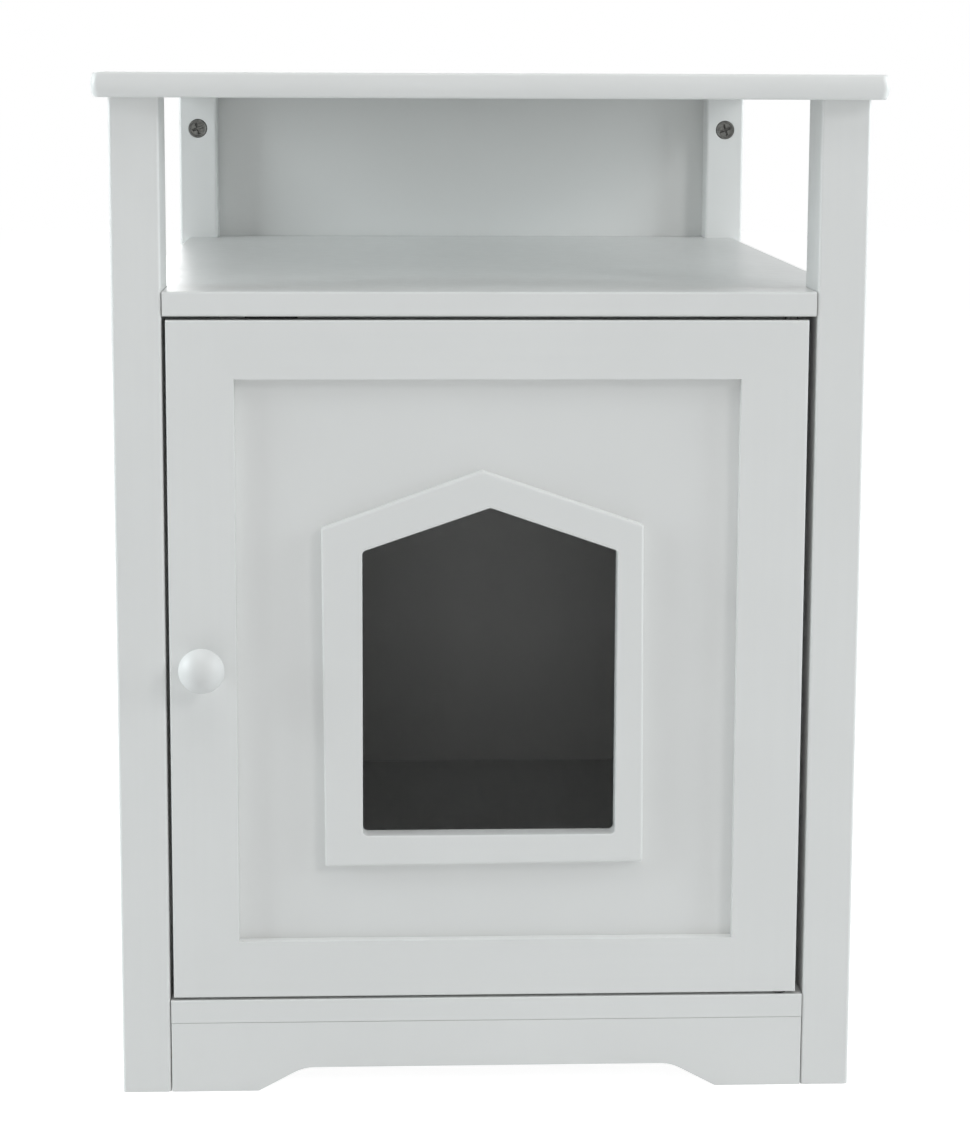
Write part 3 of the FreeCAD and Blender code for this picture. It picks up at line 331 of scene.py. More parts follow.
@dataclass(frozen=True)
class BareWood:
    """Turned beech: fine pores along the piece, and short dark flecks."""

    name: str
    light: Colour = (0.62, 0.43, 0.25)
    dark: Colour = (0.43, 0.27, 0.14)
    along: Sequence[float] = (0.06, 1.0, 1.0)
    gloss: Span = (0.55, 0.75)
    pore_across: float = 0.7 * MM
    pore_depth: float = 0.05 * MM
    fleck_across: float = 0.4 * MM
    fleck_range: Span = (0.60, 0.70)
    fleck_strength: float = 0.6

    def build(self) -> bpy.types.Material:
        """Makes the material.

        Returns:
            The material.
        """
        material, graph = new_material(self.name)
        fibres = graph.noise(self.pore_across, detail=5.0, stretch=self.along, roughness=0.65)
        dots = graph.noise(self.fleck_across, detail=2.0, stretch=self.along, shift=Shift.FLECK.value)
        flecks = graph.span(dots, self.fleck_range, (0.0, self.fleck_strength))
        colour = graph.blend(fibres, self.dark, self.light)
        colour = graph.blend(flecks, colour, self.dark)
        shader = graph.add(
            "BsdfPrincipled",
            {"Base Color": colour, "Roughness": graph.span(fibres, NOISE_BODY, self.gloss),
             "Normal": graph.relief([(fibres, self.pore_depth)])},
        )
        graph.surface(shader.outputs["BSDF"])
        return material


@dataclass(frozen=True)
class Metal:
    """Bare or plated metal with pits, tarnish and rubbed spots."""

    name: str
    bright: Colour
    dull: Colour
    gloss: Span
    stain_across: float = 2.5 * MM
    pit_across: float = 0.35 * MM
    pit_depth: float = 0.02 * MM

    def build(self) -> bpy.types.Material:
        """Makes the material.

        Returns:
            The material.
        """
        material, graph = new_material(self.name)
        cloud = graph.noise(self.stain_across, detail=4.0, roughness=0.6)
        stains = graph.span(cloud, NOISE_MIDDLE, ALL)
        pits = graph.noise(self.pit_across, shift=Shift.PIT.value)
        shader = graph.add(
            "BsdfPrincipled",
            {"Base Color": graph.blend(stains, self.bright, self.dull), "Metallic": 1.0,
             "Roughness": graph.span(stains, ALL, self.gloss),
             "Normal": graph.relief([(pits, self.pit_depth)])},
        )
        graph.surface(shader.outputs["BSDF"])
        return material


@dataclass(frozen=True)
class Moulded:
    """Moulded plastic or sintered stone with a fine matt grain."""

    name: str
    tone: Colour
    worn: Colour
    gloss: Span = (0.42, 0.58)
    scuff_across: float = 3 * MM
    scuff_range: Span = (0.52, 0.72)
    scuff_strength: float = 0.6
    grain_across: float = 0.5 * MM
    grain_depth: float = 0.02 * MM

    def build(self) -> bpy.types.Material:
        """Makes the material.

        Returns:
            The material.
        """
        material, graph = new_material(self.name)
        cloud = graph.noise(self.scuff_across, detail=5.0, roughness=0.7)
        scuffs = graph.span(cloud, self.scuff_range, (0.0, self.scuff_strength))
        grain = graph.noise(self.grain_across)
        shader = graph.add(
            "BsdfPrincipled",
            {"Base Color": graph.blend(scuffs, self.tone, self.worn),
             "Roughness": graph.span(grain, NOISE_BODY, self.gloss),
             "Normal": graph.relief([(grain, self.grain_depth)])},
        )
        graph.surface(shader.outputs["BSDF"])
        return material


@dataclass(frozen=True)
class Finishes:
    """Every finish on the cabinet."""

    board: bpy.types.Material
    post: bpy.types.Material
    rail: bpy.types.Material
    knob: bpy.types.Material
    dowel: bpy.types.Material
    dowel_deep: bpy.types.Material
    dowel_upright: bpy.types.Material
    zinc: bpy.types.Material
    steel: bpy.types.Material
    pin_steel: bpy.types.Material
    nylon: bpy.types.Material
    ferrite: bpy.types.Material

    @staticmethod
    def mix() -> "Finishes":
        """Makes them all.

        Returns:
            The finishes.
        """
        return Finishes(
            board=SatinPaint("satin paint on board").build(),
            post=SatinPaint("satin paint on upright wood", grain=Grain.UPRIGHT).build(),
            rail=SatinPaint("satin paint on level wood", grain=Grain.SIDEWAYS).build(),
            # the knob's paint is a little darker than the board's: painted shade that offsets the extra light
            # the side lamps throw on the knob
            knob=SatinPaint(
                "knob gloss paint darkened as painted shade", (0.70, 0.705, 0.698), (0.685, 0.69, 0.682), (0.38, 0.46),
                wave_across=9 * MM, wave_depth=0.02 * MM, nib_apart=9 * MM,
            ).build(),
            dowel=BareWood("beech across").build(),
            dowel_deep=BareWood("beech front to back", along=(1.0, 0.06, 1.0)).build(),
            dowel_upright=BareWood("beech upright", along=(1.0, 1.0, 0.06)).build(),
            zinc=Metal("dark zinc", (0.155, 0.155, 0.145), (0.095, 0.095, 0.09), (0.36, 0.52)).build(),
            steel=Metal("plated steel", (0.66, 0.66, 0.67), (0.50, 0.50, 0.50), (0.22, 0.40)).build(),
            pin_steel=Metal("blackened steel", (0.10, 0.10, 0.098), (0.05, 0.05, 0.05), (0.45, 0.62)).build(),
            nylon=Moulded("dark nylon", (0.035, 0.034, 0.033), (0.075, 0.073, 0.07)).build(),
            ferrite=Moulded("ferrite", (0.03, 0.03, 0.032), (0.05, 0.05, 0.05), (0.5, 0.7)).build(),
        )


# ---------------------------------------------------------------------------
# Surfaces worked out on grids
# ---------------------------------------------------------------------------
def quads(rows: int, columns: int, rows_close: bool = False) -> np.ndarray:
    """Faces between neighbouring points of a grid whose columns go right round.

    Args:
        rows: Number of rows.
        columns: Number of points in a row.
        rows_close: True if the last row joins the first.

    Returns:
        Four point numbers for each face.
    """
    row = np.arange(rows if rows_close else rows - 1)[:, None]
    column = np.arange(columns)[None, :]
    next_row, next_column = (row + 1) % rows, (column + 1) % columns
    corners = np.broadcast_arrays(
        row * columns + column, row * columns + next_column,
        next_row * columns + next_column, next_row * columns + column,
    )
    return np.stack(corners, axis=-1).reshape(-1, 4)


def arc(start: float, end: float, steps: int) -> np.ndarray:
    """Cosines and sines of evenly spaced angles.

    Args:
        start: First angle in degrees.
        end: Last angle in degrees.
        steps: Number of angles.

    Returns:
        One row for each angle.
    """
    angle = np.radians(np.linspace(start, end, steps))
    return np.stack([np.cos(angle), np.sin(angle)], axis=1)


def rounded_outline(
    corners: np.ndarray, inset: Any, radius: float, steps: int = 9
) -> np.ndarray:
    """A convex outline moved inwards, with an arc at each corner.

    Each edge moves along its normal by the inset. The arc's centre is where
    the neighbouring edges meet once they have moved a radius further in, and
    the arc turns from one edge's normal to the next one's.

    Args:
        corners: The outline's corners in turn, anticlockwise.
        inset: How far the edges move in, one length or one for each edge.
        radius: The corners' radius.
        steps: Points on each arc.

    Returns:
        The outline's points, the arcs one after another.
    """
    edge = np.roll(corners, -1, axis=0) - corners
    edge = edge / np.linalg.norm(edge, axis=1, keepdims=True)
    normal = np.stack([edge[:, 1], -edge[:, 0]], axis=1)
    reach = np.sum(normal * corners, axis=1) - inset - radius
    before = np.roll(normal, 1, axis=0)
    centre = np.linalg.solve(
        np.stack([before, normal], axis=1), np.stack([np.roll(reach, 1), reach], axis=1)[..., None]
    )[..., 0]
    start = np.arctan2(before[:, 1], before[:, 0])
    turn = np.mod(np.arctan2(normal[:, 1], normal[:, 0]) - start, 2 * np.pi)
    angle = start[:, None] + turn[:, None] * np.linspace(0, 1, steps)[None, :]
    around = np.stack([np.cos(angle), np.sin(angle)], axis=-1)
    return (centre[:, None, :] + radius * around).reshape(-1, 2)


def closed_piece(
    name: str, points: np.ndarray, faces: Sequence[Sequence[int]], sharp: float = 35.0
) -> bpy.types.Object:
    """A closed mesh object at the origin, with its faces pointing outwards.

    Args:
        name: The piece's name.
        points: Its points in metres.
        faces: Point numbers of each face.
        sharp: Edges that turn more than this many degrees stay crisp.

    Returns:
        The object, in the scene.
    """
    mesh = bpy.data.meshes.new(name)
    mesh.from_pydata(points.reshape(-1, 3).tolist(), [], [tuple(face) for face in faces])
    work = bmesh.new()
    work.from_mesh(mesh)
    bmesh.ops.remove_doubles(work, verts=work.verts, dist=MERGE_DISTANCE)
    bmesh.ops.recalc_face_normals(work, faces=work.faces)
    work.to_mesh(mesh)
    work.free()
    mesh.shade_smooth()
    mesh.set_sharp_from_angle(angle=math.radians(sharp))
    piece = bpy.data.objects.new(name, mesh)
    bpy.context.scene.collection.objects.link(piece)
    return piece


def revolved(profile: np.ndarray, around: int) -> np.ndarray:
    """A profile turned about the Z axis.

    Args:
        profile: Radius and height of each point.
        around: Points in a full turn.

    Returns:
        One row of points for each point of the profile.
    """
    turn = arc(0, 360, around + 1)[:-1]
    level = profile[:, 0][:, None, None] * turn[None]
    height = np.broadcast_to(profile[:, 1][:, None, None], (*level.shape[:2], 1))
    return np.concatenate([level, height], axis=-1)


def finish_piece(
    piece: bpy.types.Object, material: bpy.types.Material, slot: str, body: str, *nodes: str
) -> None:
    """Paints a new piece and lets it stand for its solids.

    Args:
        piece: The new piece.
        material: Its finish.
        slot: The record's name for that finish. Not used.
        body: The body that it moves with.
        nodes: The solids that it replaces.
    """
    piece.data.materials.append(material)
    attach(piece, body)
    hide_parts(*nodes)
    LOG.info("%s replaces %s: %d faces", piece.name, ", ".join(nodes), len(piece.data.polygons))


def dress(nodes: dict[str, bpy.types.Object], names: Iterable[str], material: bpy.types.Material) -> None:
    """Gives solids their finish.

    Args:
        nodes: All the solids by name.
        names: The ones to dress.
        material: Their finish.
    """
    for name in names:
        for slot in nodes[name].material_slots:
            slot.material = material
        LOG.info("%s: %s", name, material.name)


# ---------------------------------------------------------------------------
# Sub-assemblies
# ---------------------------------------------------------------------------
@dataclass
class TopBoard:
    """The board on top: front and side edges bowed, the back edge square."""

    bow_radius: float = 20 * MM
    rounding: float = 2 * MM
    corner_radius: float = 5 * MM
    land: float = 3 * MM
    bow_steps: int = 13
    rounding_steps: int = 7

    def edge_profile(self, thickness: float) -> np.ndarray:
        """The bowed edge from the underside to the top.

        A wide arc bulges at mid-thickness. A small arc, tangent to it, runs
        into each flat face, and a narrow land on that face ends it.

        Args:
            thickness: The board's thickness.

        Returns:
            How far in from the board's widest line, and how high, at each point.
        """
        rise = thickness / 2 - self.rounding
        reach = math.sqrt((self.bow_radius - self.rounding) ** 2 - rise ** 2)
        lean = math.degrees(math.atan2(rise, reach))
        small_inset = self.bow_radius - reach
        wide = arc(-lean, lean, self.bow_steps) * self.bow_radius
        wide = np.stack([self.bow_radius - wide[:, 0], thickness / 2 + wide[:, 1]], axis=1)
        small = arc(lean, 90, self.rounding_steps) * self.rounding
        upper = np.stack([small_inset - small[:, 0], thickness - self.rounding + small[:, 1]], axis=1)
        upper = np.vstack([upper[1:], [small_inset + self.land, thickness]])
        lower = np.stack([upper[:, 0], thickness - upper[:, 1]], axis=1)[::-1]
        return np.vstack([lower, wide, upper])

    def build(self, finishes: Finishes) -> None:
        """Carries the edge profile round the board's plan and closes both faces.

        Args:
            finishes: The cabinet's finishes.
        """
        low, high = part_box("top_board")
        plan = np.array([(low.x, low.y), (high.x, low.y), (high.x, high.y), (low.x, high.y)])
        bowed = np.array([1.0, 1.0, 0.0, 1.0])
        profile = self.edge_profile(high.z - low.z)
        rings = [
            np.column_stack([outline, np.full(len(outline), low.z + height)])
            for inset, height in profile
            for outline in [rounded_outline(plan, inset * bowed, self.corner_radius)]
        ]
        columns = len(rings[0])
        faces = quads(len(rings), columns).tolist()
        faces += [list(range(columns))[::-1], list(range((len(rings) - 1) * columns, len(rings) * columns))]
        piece = closed_piece("top_board_bowed", np.array(rings), faces)
        finish_piece(piece, finishes.board, "painted_board", "carcass", "top_board")


@dataclass
class EntryTrim:
    """The house-shaped ring on the door panel, standing 7.4 mm proud of it."""

    opening_width: float = 157 * MM
    opening_wall: float = 179.5 * MM
    opening_rise: float = 27 * MM
    opening_corner: float = 3 * MM
    opening_rounding: float = 0.8 * MM
    outer_width: float = 198 * MM
    outer_wall: float = 213.4 * MM
    outer_rise: float = 34.8 * MM
    outer_corner: float = 1.5 * MM
    outer_rounding: float = 1.5 * MM
    outer_lean: float = 0.5
    below_sill: float = 18.8 * MM
    offset: float = -2.8 * MM
    opening_middle: float = 0.2 * MM
    sill: float = 165 * MM
    land: float = 1.2 * MM
    steps: int = 6

    @staticmethod
    def house(width: float, wall: float, rise: float) -> np.ndarray:
        """Corners of a house outline, its foot's middle at the origin.

        Args:
            width: Its width.
            wall: Height of its walls.
            rise: Height of the gable over them.

        Returns:
            Five corners, anticlockwise as seen from the front.
        """
        half = width / 2
        return np.array([(-half, 0), (half, 0), (half, wall), (0, wall + rise), (-half, wall)])

    def outer_corners(self) -> np.ndarray:
        """Corners of the ring's outline, leaning about its foot's middle.

        Returns:
            Five corners, anticlockwise as seen from the front.
        """
        lean = math.radians(self.outer_lean)
        turn = np.array([[math.cos(lean), -math.sin(lean)], [math.sin(lean), math.cos(lean)]])
        corners = self.house(self.outer_width, self.outer_wall, self.outer_rise) @ turn.T
        return corners + (self.opening_middle + self.offset, self.sill - self.below_sill)

    def build(self, finishes: Finishes) -> None:
        """Lays rings from the opening's wall over the face to the outer wall.

        Each ring is the opening's outline moved out or the outer outline moved
        in, so the two roundings are quarter circles of rings.

        Args:
            finishes: The cabinet's finishes.
        """
        low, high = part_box("entry_trim")
        inner = self.house(self.opening_width, self.opening_wall, self.opening_rise)
        inner = inner + (self.opening_middle, self.sill)
        outer = self.outer_corners()
        face, back = low.y, high.y
        quarter = arc(0, 90, self.steps)
        rings: list[tuple[np.ndarray, float]] = []

        def inner_ring(grow: float, depth: float) -> None:
            """Adds the opening's outline, moved out by grow, at a depth."""
            rings.append((rounded_outline(inner, -grow, self.opening_corner + grow), depth))

        def outer_ring(inset: float, depth: float) -> None:
            """Adds the outer outline, moved in by inset, at a depth."""
            rings.append((rounded_outline(outer, inset, self.outer_corner), depth))

        inner_ring(0.0, back)
        for cosine, sine in quarter:
            inner_ring(self.opening_rounding * (1 - cosine), face + self.opening_rounding * (1 - sine))
        inner_ring(self.opening_rounding + self.land, face)
        outer_ring(self.outer_rounding + self.land, face)
        for cosine, sine in quarter[::-1]:
            outer_ring(self.outer_rounding * (1 - cosine), face + self.outer_rounding * (1 - sine))
        outer_ring(0.0, back)
        points = np.array([
            np.column_stack([outline[:, 0], np.full(len(outline), depth), outline[:, 1]])
            for outline, depth in rings
        ])
        faces = quads(len(rings), points.shape[1], rows_close=True).tolist()
        piece = closed_piece("entry_trim_ring", points, faces)
        finish_piece(piece, finishes.board, "painted_board", "door", "entry_trim")


@dataclass
class Knob:
    """A turned knob: a foot, a hollow neck, a spreading underside and a dome."""

    foot_radius: float = 8.5 * MM
    neck_radius: float = 6.5 * MM
    neck_height: float = 6 * MM
    rim_radius: float = 14.0 * MM
    rim_height: float = 14.2 * MM
    rim_rounding: float = 0.8 * MM
    foot_curve: float = 8 * MM
    under_curve: float = 12 * MM
    rim_tuck: float = 0.35
    around: int = 96
    steps: int = 18
    crisp_angle: float = 50.0

    @staticmethod
    def hollow(start: np.ndarray, end: np.ndarray, radius: float, steps: int) -> np.ndarray:
        """An arc between two points that bends towards the axis.

        The centre stands off the middle of the chord, on the side away from
        the axis, by the root of the radius squared less half the chord squared.

        Args:
            start: Radius and height where it starts.
            end: Radius and height where it ends.
            radius: The arc's radius.
            steps: Number of points.

        Returns:
            The points on the arc.
        """
        chord = end - start
        half = np.linalg.norm(chord) / 2
        across = np.array([chord[1], -chord[0]]) / (2 * half)
        centre = (start + end) / 2 + across * math.sqrt(radius ** 2 - half ** 2)
        first, last = start - centre, end - centre
        begin = math.atan2(first[1], first[0])
        turn = (math.atan2(last[1], last[0]) - begin + math.pi) % (2 * math.pi) - math.pi
        angle = begin + turn * np.linspace(0, 1, steps)
        return centre + radius * np.stack([np.cos(angle), np.sin(angle)], axis=1)

    def profile(self, reach: float) -> np.ndarray:
        """Radius and height from the foot's middle over the rim to the tip.

        The dome is a circle centred on the axis, through the rim and the tip.

        Args:
            reach: Height of the tip.

        Returns:
            The profile's points.
        """
        foot = np.array([self.foot_radius, 0.0])
        neck = np.array([self.neck_radius, self.neck_height])
        rim_inset = self.rim_rounding * self.rim_tuck
        rim = np.array([self.rim_radius - rim_inset, self.rim_height - self.rim_rounding])
        rise = reach - self.rim_height
        dome = (self.rim_radius ** 2 + rise ** 2) / (2 * rise)
        lean = math.degrees(math.acos(self.rim_radius / dome))
        crown = arc(lean, 90, 2 * self.steps) * dome + (0.0, reach - dome)
        return np.vstack([
            [(0.0, 0.0)],
            self.hollow(foot, neck, self.foot_curve, self.steps),
            self.hollow(neck, rim, self.under_curve, self.steps)[1:],
            crown,
        ])

    def build(self, finishes: Finishes) -> None:
        """Turns the profile about the knob's axis, which points to the front.

        Args:
            finishes: The cabinet's finishes.
        """
        low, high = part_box("knob")
        foot_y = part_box("door_latch_stile")[0].y
        turned = revolved(self.profile(foot_y - low.y), self.around)
        rows, columns = turned.shape[:2]
        centre = ((low.x + high.x) / 2, foot_y, (low.z + high.z) / 2)
        points = np.stack([turned[..., 0], -turned[..., 2], turned[..., 1]], axis=-1) + centre
        faces = quads(rows, columns).tolist()
        piece = closed_piece("knob_turned", points, faces, self.crisp_angle)
        finish_piece(piece, finishes.knob, "knob_paint", "door", "knob")


class Facing(Enum):
    """Which way a cam lock's face looks: the rows turn its own X, Y, Z."""

    FRONT = ((1, 0, 0), (0, 0, 1), (0, -1, 0))
    BACK = ((-1, 0, 0), (0, 0, 1), (0, 1, 0))
    DOWN = ((1, 0, 0), (0, -1, 0), (0, 0, -1))


@dataclass
class CamLocks:
    """Round die-cast locks, each with a raised rim and a crossed driver slot."""

    radius: float = 7.5 * MM
    depth: float = 12.5 * MM
    chamfer: float = 0.5 * MM
    dish_radius: float = 5.9 * MM
    dish_depth: float = 0.5 * MM
    slot_half_width: float = 0.85 * MM
    slot_half_length: float = 4.4 * MM
    slot_depth: float = 2.2 * MM
    slope: float = 0.3 * MM
    rings: int = 34
    first_ring: float = 0.02
    around: int = 144
    turn: float = 20.0
    crisp_angle: float = 60.0

    def face_height(self, x: np.ndarray, y: np.ndarray) -> np.ndarray:
        """Height of the face: a flat rim, a shallow dish and a cross cut in it.

        Each step is a smooth ramp one slope wide, and the cross is the deeper
        of its two arms.

        Args:
            x: Places along one arm.
            y: Places along the other.

        Returns:
            The height over the rim, zero or less.
        """
        def ramp(distance: np.ndarray) -> np.ndarray:
            """0 before an edge, 1 past it, smooth over one slope."""
            share = np.clip(distance / self.slope + 0.5, 0, 1)
            return share * share * (3 - 2 * share)

        dish = ramp(self.dish_radius - np.hypot(x, y))
        arms = [
            ramp(self.slot_half_width - np.abs(across)) * ramp(self.slot_half_length - np.abs(along))
            for across, along in ((x, y), (y, x))
        ]
        return -self.dish_depth * dish - self.slot_depth * np.maximum(*arms)

    def one(self) -> tuple[np.ndarray, np.ndarray]:
        """A lock standing on Z, its face at height zero and its foot below it.

        Returns:
            Its points and its faces.
        """
        face_radius = np.linspace(self.first_ring, 1.0, self.rings) * (self.radius - self.chamfer)
        radius = np.concatenate([[0.0], face_radius, [self.radius] * 2, [0.0]])
        height = np.concatenate([np.zeros(self.rings + 1), [-self.chamfer, -self.depth, -self.depth]])
        points = revolved(np.stack([radius, height], axis=1), self.around)
        face = points[: self.rings + 1]
        lean = math.radians(self.turn)
        x = face[..., 0] * math.cos(lean) + face[..., 1] * math.sin(lean)
        y = face[..., 1] * math.cos(lean) - face[..., 0] * math.sin(lean)
        face[..., 2] = self.face_height(x, y)
        return points.reshape(-1, 3), quads(len(radius), self.around)

    def build(self, node: str, middles: Sequence[tuple[float, float, float]],
              facings: Sequence[Facing], finishes: Finishes) -> None:
        """Sets locks in their bores.

        Args:
            node: The solid that they replace.
            middles: The middle of each lock's face.
            facings: Which way each face looks.
            finishes: The cabinet's finishes.
        """
        points, faces = self.one()
        turned = [points @ np.array(facing.value, float) + middle
                  for middle, facing in zip(middles, facings)]
        numbered = [faces + index * len(points) for index in range(len(turned))]
        points, faces = np.vstack(turned), np.vstack(numbered).tolist()
        piece = closed_piece(node + "_cast", points, faces, self.crisp_angle)
        finish_piece(piece, finishes.zinc, "zinc", "carcass", node)

    def build_all(self, finishes: Finishes) -> None:
        """Sets the locks of the top, the shelf and the base panel.

        Args:
            finishes: The cabinet's finishes.
        """
        low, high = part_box("top_cam_locks")
        middle_z = (low.z + high.z) / 2
        places, facings = [], []
        for y, facing in ((low.y + self.depth, Facing.BACK), (high.y - self.depth, Facing.FRONT)):
            for x in (low.x + self.radius, high.x - self.radius):
                places.append((x, y, middle_z))
                facings.append(facing)
        self.build("top_cam_locks", places, facings, finishes)
        for node in ("shelf_cam_locks", "base_cam_locks"):
            low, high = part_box(node)
            places = [(x, y, low.z) for x in (low.x + self.radius, high.x - self.radius)
                      for y in (low.y + self.radius, high.y - self.radius)]
            self.build(node, places, [Facing.DOWN] * len(places), finishes)


@dataclass
class Carcass:
    """The fixed boards, posts and their hidden joints."""

    nodes: dict[str, bpy.types.Object]
    boards: Sequence[str] = (
        "side_panel_left", "side_panel_right", "shelf", "base_panel", "back_board_upper", "back_panel_lower",
        "front_skirt",
    )
    posts: Sequence[str] = ("post_front_left", "post_front_right", "post_back_left", "post_back_right")
    level_dowels: Sequence[str] = (
        "board_front_dowels", "back_panel_dowels", "back_board_dowels", "skirt_end_dowels",
    )
    upright_dowels: Sequence[str] = ("top_dowels", "shelf_dowels", "skirt_top_dowels")
    bolts: Sequence[str] = ("top_cam_bolts", "shelf_cam_bolts", "base_cam_bolts")

    def dress(self, finishes: Finishes) -> None:
        """Paints the boards and gives the joints their bare materials.

        Args:
            finishes: The cabinet's finishes.
        """
        dress(self.nodes, self.boards, finishes.board)
        dress(self.nodes, self.posts, finishes.post)
        dress(self.nodes, self.level_dowels, finishes.dowel)
        dress(self.nodes, ("side_panel_dowels",), finishes.dowel_deep)
        dress(self.nodes, self.upright_dowels, finishes.dowel_upright)
        dress(self.nodes, self.bolts, finishes.steel)
        dress(self.nodes, ("pivot_bush_top", "pivot_bush_bottom", "catch_case"), finishes.nylon)
        dress(self.nodes, ("catch_pole_plates", "catch_screws"), finishes.steel)
        dress(self.nodes, ("catch_magnet",), finishes.ferrite)


@dataclass
class Door:
    """The swinging frame, its panel, trim, knob and fittings."""

    nodes: dict[str, bpy.types.Object]
    stiles: Sequence[str] = ("door_latch_stile", "door_hinge_stile")
    rails: Sequence[str] = ("door_top_rail", "door_bottom_rail")
    fittings: Sequence[str] = ("knob_screw", "strike_plate", "strike_screw")
    pins: Sequence[str] = ("pivot_pin_top", "pivot_pin_bottom")
    trim: EntryTrim = field(default_factory=EntryTrim)
    knob: Knob = field(default_factory=Knob)

    def dress(self, finishes: Finishes) -> None:
        """Paints the frame and builds the trim and the knob.

        Args:
            finishes: The cabinet's finishes.
        """
        dress(self.nodes, self.stiles, finishes.post)
        dress(self.nodes, self.rails, finishes.rail)
        dress(self.nodes, ("door_panel",), finishes.board)
        dress(self.nodes, ("door_dowels",), finishes.dowel)
        dress(self.nodes, self.fittings, finishes.steel)
        dress(self.nodes, self.pins, finishes.pin_steel)
        self.trim.build(finishes)
        self.knob.build(finishes)


# ---------------------------------------------------------------------------
# Studio
# ---------------------------------------------------------------------------
WHITE = (1.0, 1.0, 1.0, 1.0)
COOL: Colour = (0.90, 0.975, 1.0)


@dataclass(frozen=True)
class SoftBox:
    """A square lamp that faces a point."""

    name: str
    place: tuple[float, float, float]
    side: float
    power: float
    tint: Colour = (1.0, 1.0, 1.0)
    aim: tuple[float, float, float] = (0.0, -0.1, 0.32)

    def build(self) -> None:
        """Hangs the lamp."""
        lamp = bpy.data.lights.new(self.name, "AREA")
        lamp.shape = "SQUARE"
        lamp.size = self.side
        lamp.energy = self.power
        lamp.color = self.tint
        holder = bpy.data.objects.new(self.name, lamp)
        holder.location = self.place
        holder.rotation_euler = (Vector(self.aim) - Vector(self.place)).to_track_quat("-Z", "Y").to_euler()
        bpy.context.scene.collection.objects.link(holder)


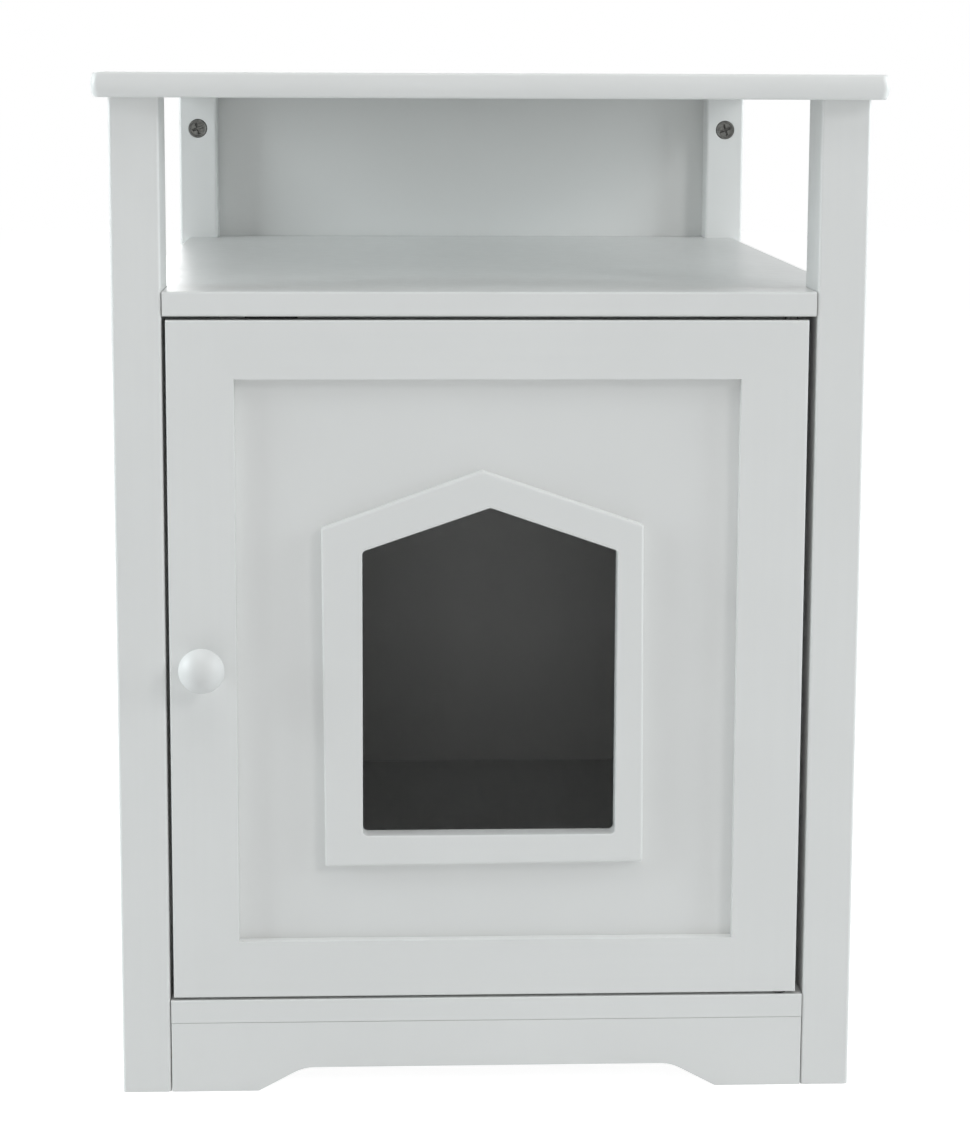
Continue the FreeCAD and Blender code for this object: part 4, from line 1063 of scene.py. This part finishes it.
@dataclass
class Studio:
    """A pale floor, a white surround and soft lamps."""

    floor_half: float = 9.0
    floor_level: float = -0.0004
    ambient: float = 0.19
    floor_tone: float = 0.78
    shadow_tone: float = 0.50
    floor_glow: float = 0.905
    lamps: Sequence[SoftBox] = (
        SoftBox("key", (2.1, -2.5, 2.1), 0.9, 21.0),
        SoftBox("overhead", (0.1, -0.9, 2.7), 1.6, 16.0),
        SoftBox("left wing", (-2.3, -0.42, 1.1), 1.4, 43.0, COOL),
        SoftBox("right wing", (2.3, -0.42, 1.1), 1.4, 39.0, COOL),
        SoftBox("front", (-0.3, -5.0, 0.95), 2.0, 17.0),
        SoftBox("back", (-0.6, 3.7, 1.3), 1.8, 40.0),
    )

    @staticmethod
    def seen(graph: Graph) -> Socket:
        """Tells what the camera sees, straight, mirrored or through glass.

        Args:
            graph: The tree that asks.

        Returns:
            1 for such a ray and 0 for any other.
        """
        path = graph.add("LightPath")
        either = graph.add(
            "Math", {0: path.outputs["Is Camera Ray"], 1: path.outputs["Is Glossy Ray"]}, operation="MAXIMUM"
        )
        any_of = graph.add(
            "Math", {0: either.outputs[0], 1: path.outputs["Is Transmission Ray"]}, operation="MAXIMUM"
        )
        return any_of.outputs[0]

    def light_world(self) -> None:
        """A surround that looks white and lights at its own, lower strength."""
        world = bpy.data.worlds.new("studio")
        world.use_nodes = True
        bpy.context.scene.world = world
        graph = Graph(world.node_tree)
        plain = graph.add("Background", {"Color": WHITE, "Strength": self.ambient})
        white = graph.add("Background", {"Color": WHITE, "Strength": 1.0})
        mixed = graph.add(
            "MixShader", {0: self.seen(graph), 1: plain.outputs[0], 2: white.outputs[0]}
        )
        graph.surface(mixed.outputs[0], "OutputWorld")

    def lay_floor(self) -> None:
        """A plain floor that glows to white where the camera sees it, shadows kept."""
        half = self.floor_half
        corners = [(-half, -half), (half, -half), (half, half), (-half, half)]
        mesh = bpy.data.meshes.new("floor")
        mesh.from_pydata([(x, y, self.floor_level) for x, y in corners], [], [(0, 1, 2, 3)])
        floor = bpy.data.objects.new("floor", mesh)
        bpy.context.scene.collection.objects.link(floor)
        material, graph = new_material("pale floor")
        plain = graph.add("BsdfDiffuse", {"Color": (self.floor_tone,) * 3 + (1.0,)})
        shadowed = graph.add("BsdfDiffuse", {"Color": (self.shadow_tone,) * 3 + (1.0,)})
        glow = graph.add("Emission", {"Color": WHITE, "Strength": self.floor_glow})
        white = graph.add("AddShader", {0: shadowed.outputs[0], 1: glow.outputs[0]})
        mixed = graph.add("MixShader", {0: self.seen(graph), 1: plain.outputs[0], 2: white.outputs[0]})
        graph.surface(mixed.outputs[0])
        mesh.materials.append(material)

    def build(self) -> None:
        """Sets up the whole studio."""
        bpy.context.scene.view_settings.view_transform = "Standard"
        self.light_world()
        self.lay_floor()
        for lamp in self.lamps:
            lamp.build()
        LOG.info("studio: %d lamps", len(self.lamps))


@dataclass
class PhotoCamera:
    """The camera that took the picture, as fitted to the cabinet's edges.

    Angles are in radians. The middle is where the lens axis meets the picture,
    which lies above its centre because the lens was shifted.
    """

    place: tuple[float, float, float] = (-0.066875, -1.79962, 0.629114)
    yaw: float = 0.0408
    pitch: float = 0.1374
    roll: float = 0.0039
    focal_px: float = 2520.39
    middle_px: tuple[float, float] = (482.52, 431.60)
    picture_px: tuple[int, int] = (970, 1133)
    sensor: float = 36.0

    def build(self) -> None:
        """Makes the scene's camera.

        Forward turns from +Y by the yaw and dips by the pitch. Right is level,
        up is square to both, and the roll turns right and up about forward.
        """
        forward = Vector((
            math.sin(self.yaw) * math.cos(self.pitch), math.cos(self.yaw) * math.cos(self.pitch),
            -math.sin(self.pitch),
        ))
        right = Vector((math.cos(self.yaw), -math.sin(self.yaw), 0.0))
        up = right.cross(forward)
        cosine, sine = math.cos(self.roll), math.sin(self.roll)
        right, up = right * cosine + up * sine, up * cosine - right * sine
        width, height = self.picture_px
        longest = max(width, height)
        lens = bpy.data.cameras.new("photo camera")
        lens.sensor_width = self.sensor
        lens.lens = self.focal_px * self.sensor / longest
        lens.shift_x = (width / 2 - self.middle_px[0]) / longest
        lens.shift_y = (self.middle_px[1] - height / 2) / longest
        holder = bpy.data.objects.new("photo camera", lens)
        turned = Matrix((right, up, -forward)).transposed().to_4x4()
        holder.matrix_world = Matrix.Translation(self.place) @ turned
        bpy.context.scene.collection.objects.link(holder)
        bpy.context.scene.camera = holder
        LOG.info("camera: %.1f mm lens", lens.lens)


def main() -> None:
    """Builds the cabinet's looks in order, then the studio and the camera."""
    logging.basicConfig(level=logging.INFO, format="%(name)s: %(message)s")
    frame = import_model()
    nodes = frame["nodes"]
    finishes = Finishes.mix()
    Carcass(nodes).dress(finishes)
    TopBoard().build(finishes)
    CamLocks().build_all(finishes)
    Door(nodes).dress(finishes)
    Studio().build()
    PhotoCamera().build()


if __name__ == "__main__":
    main()
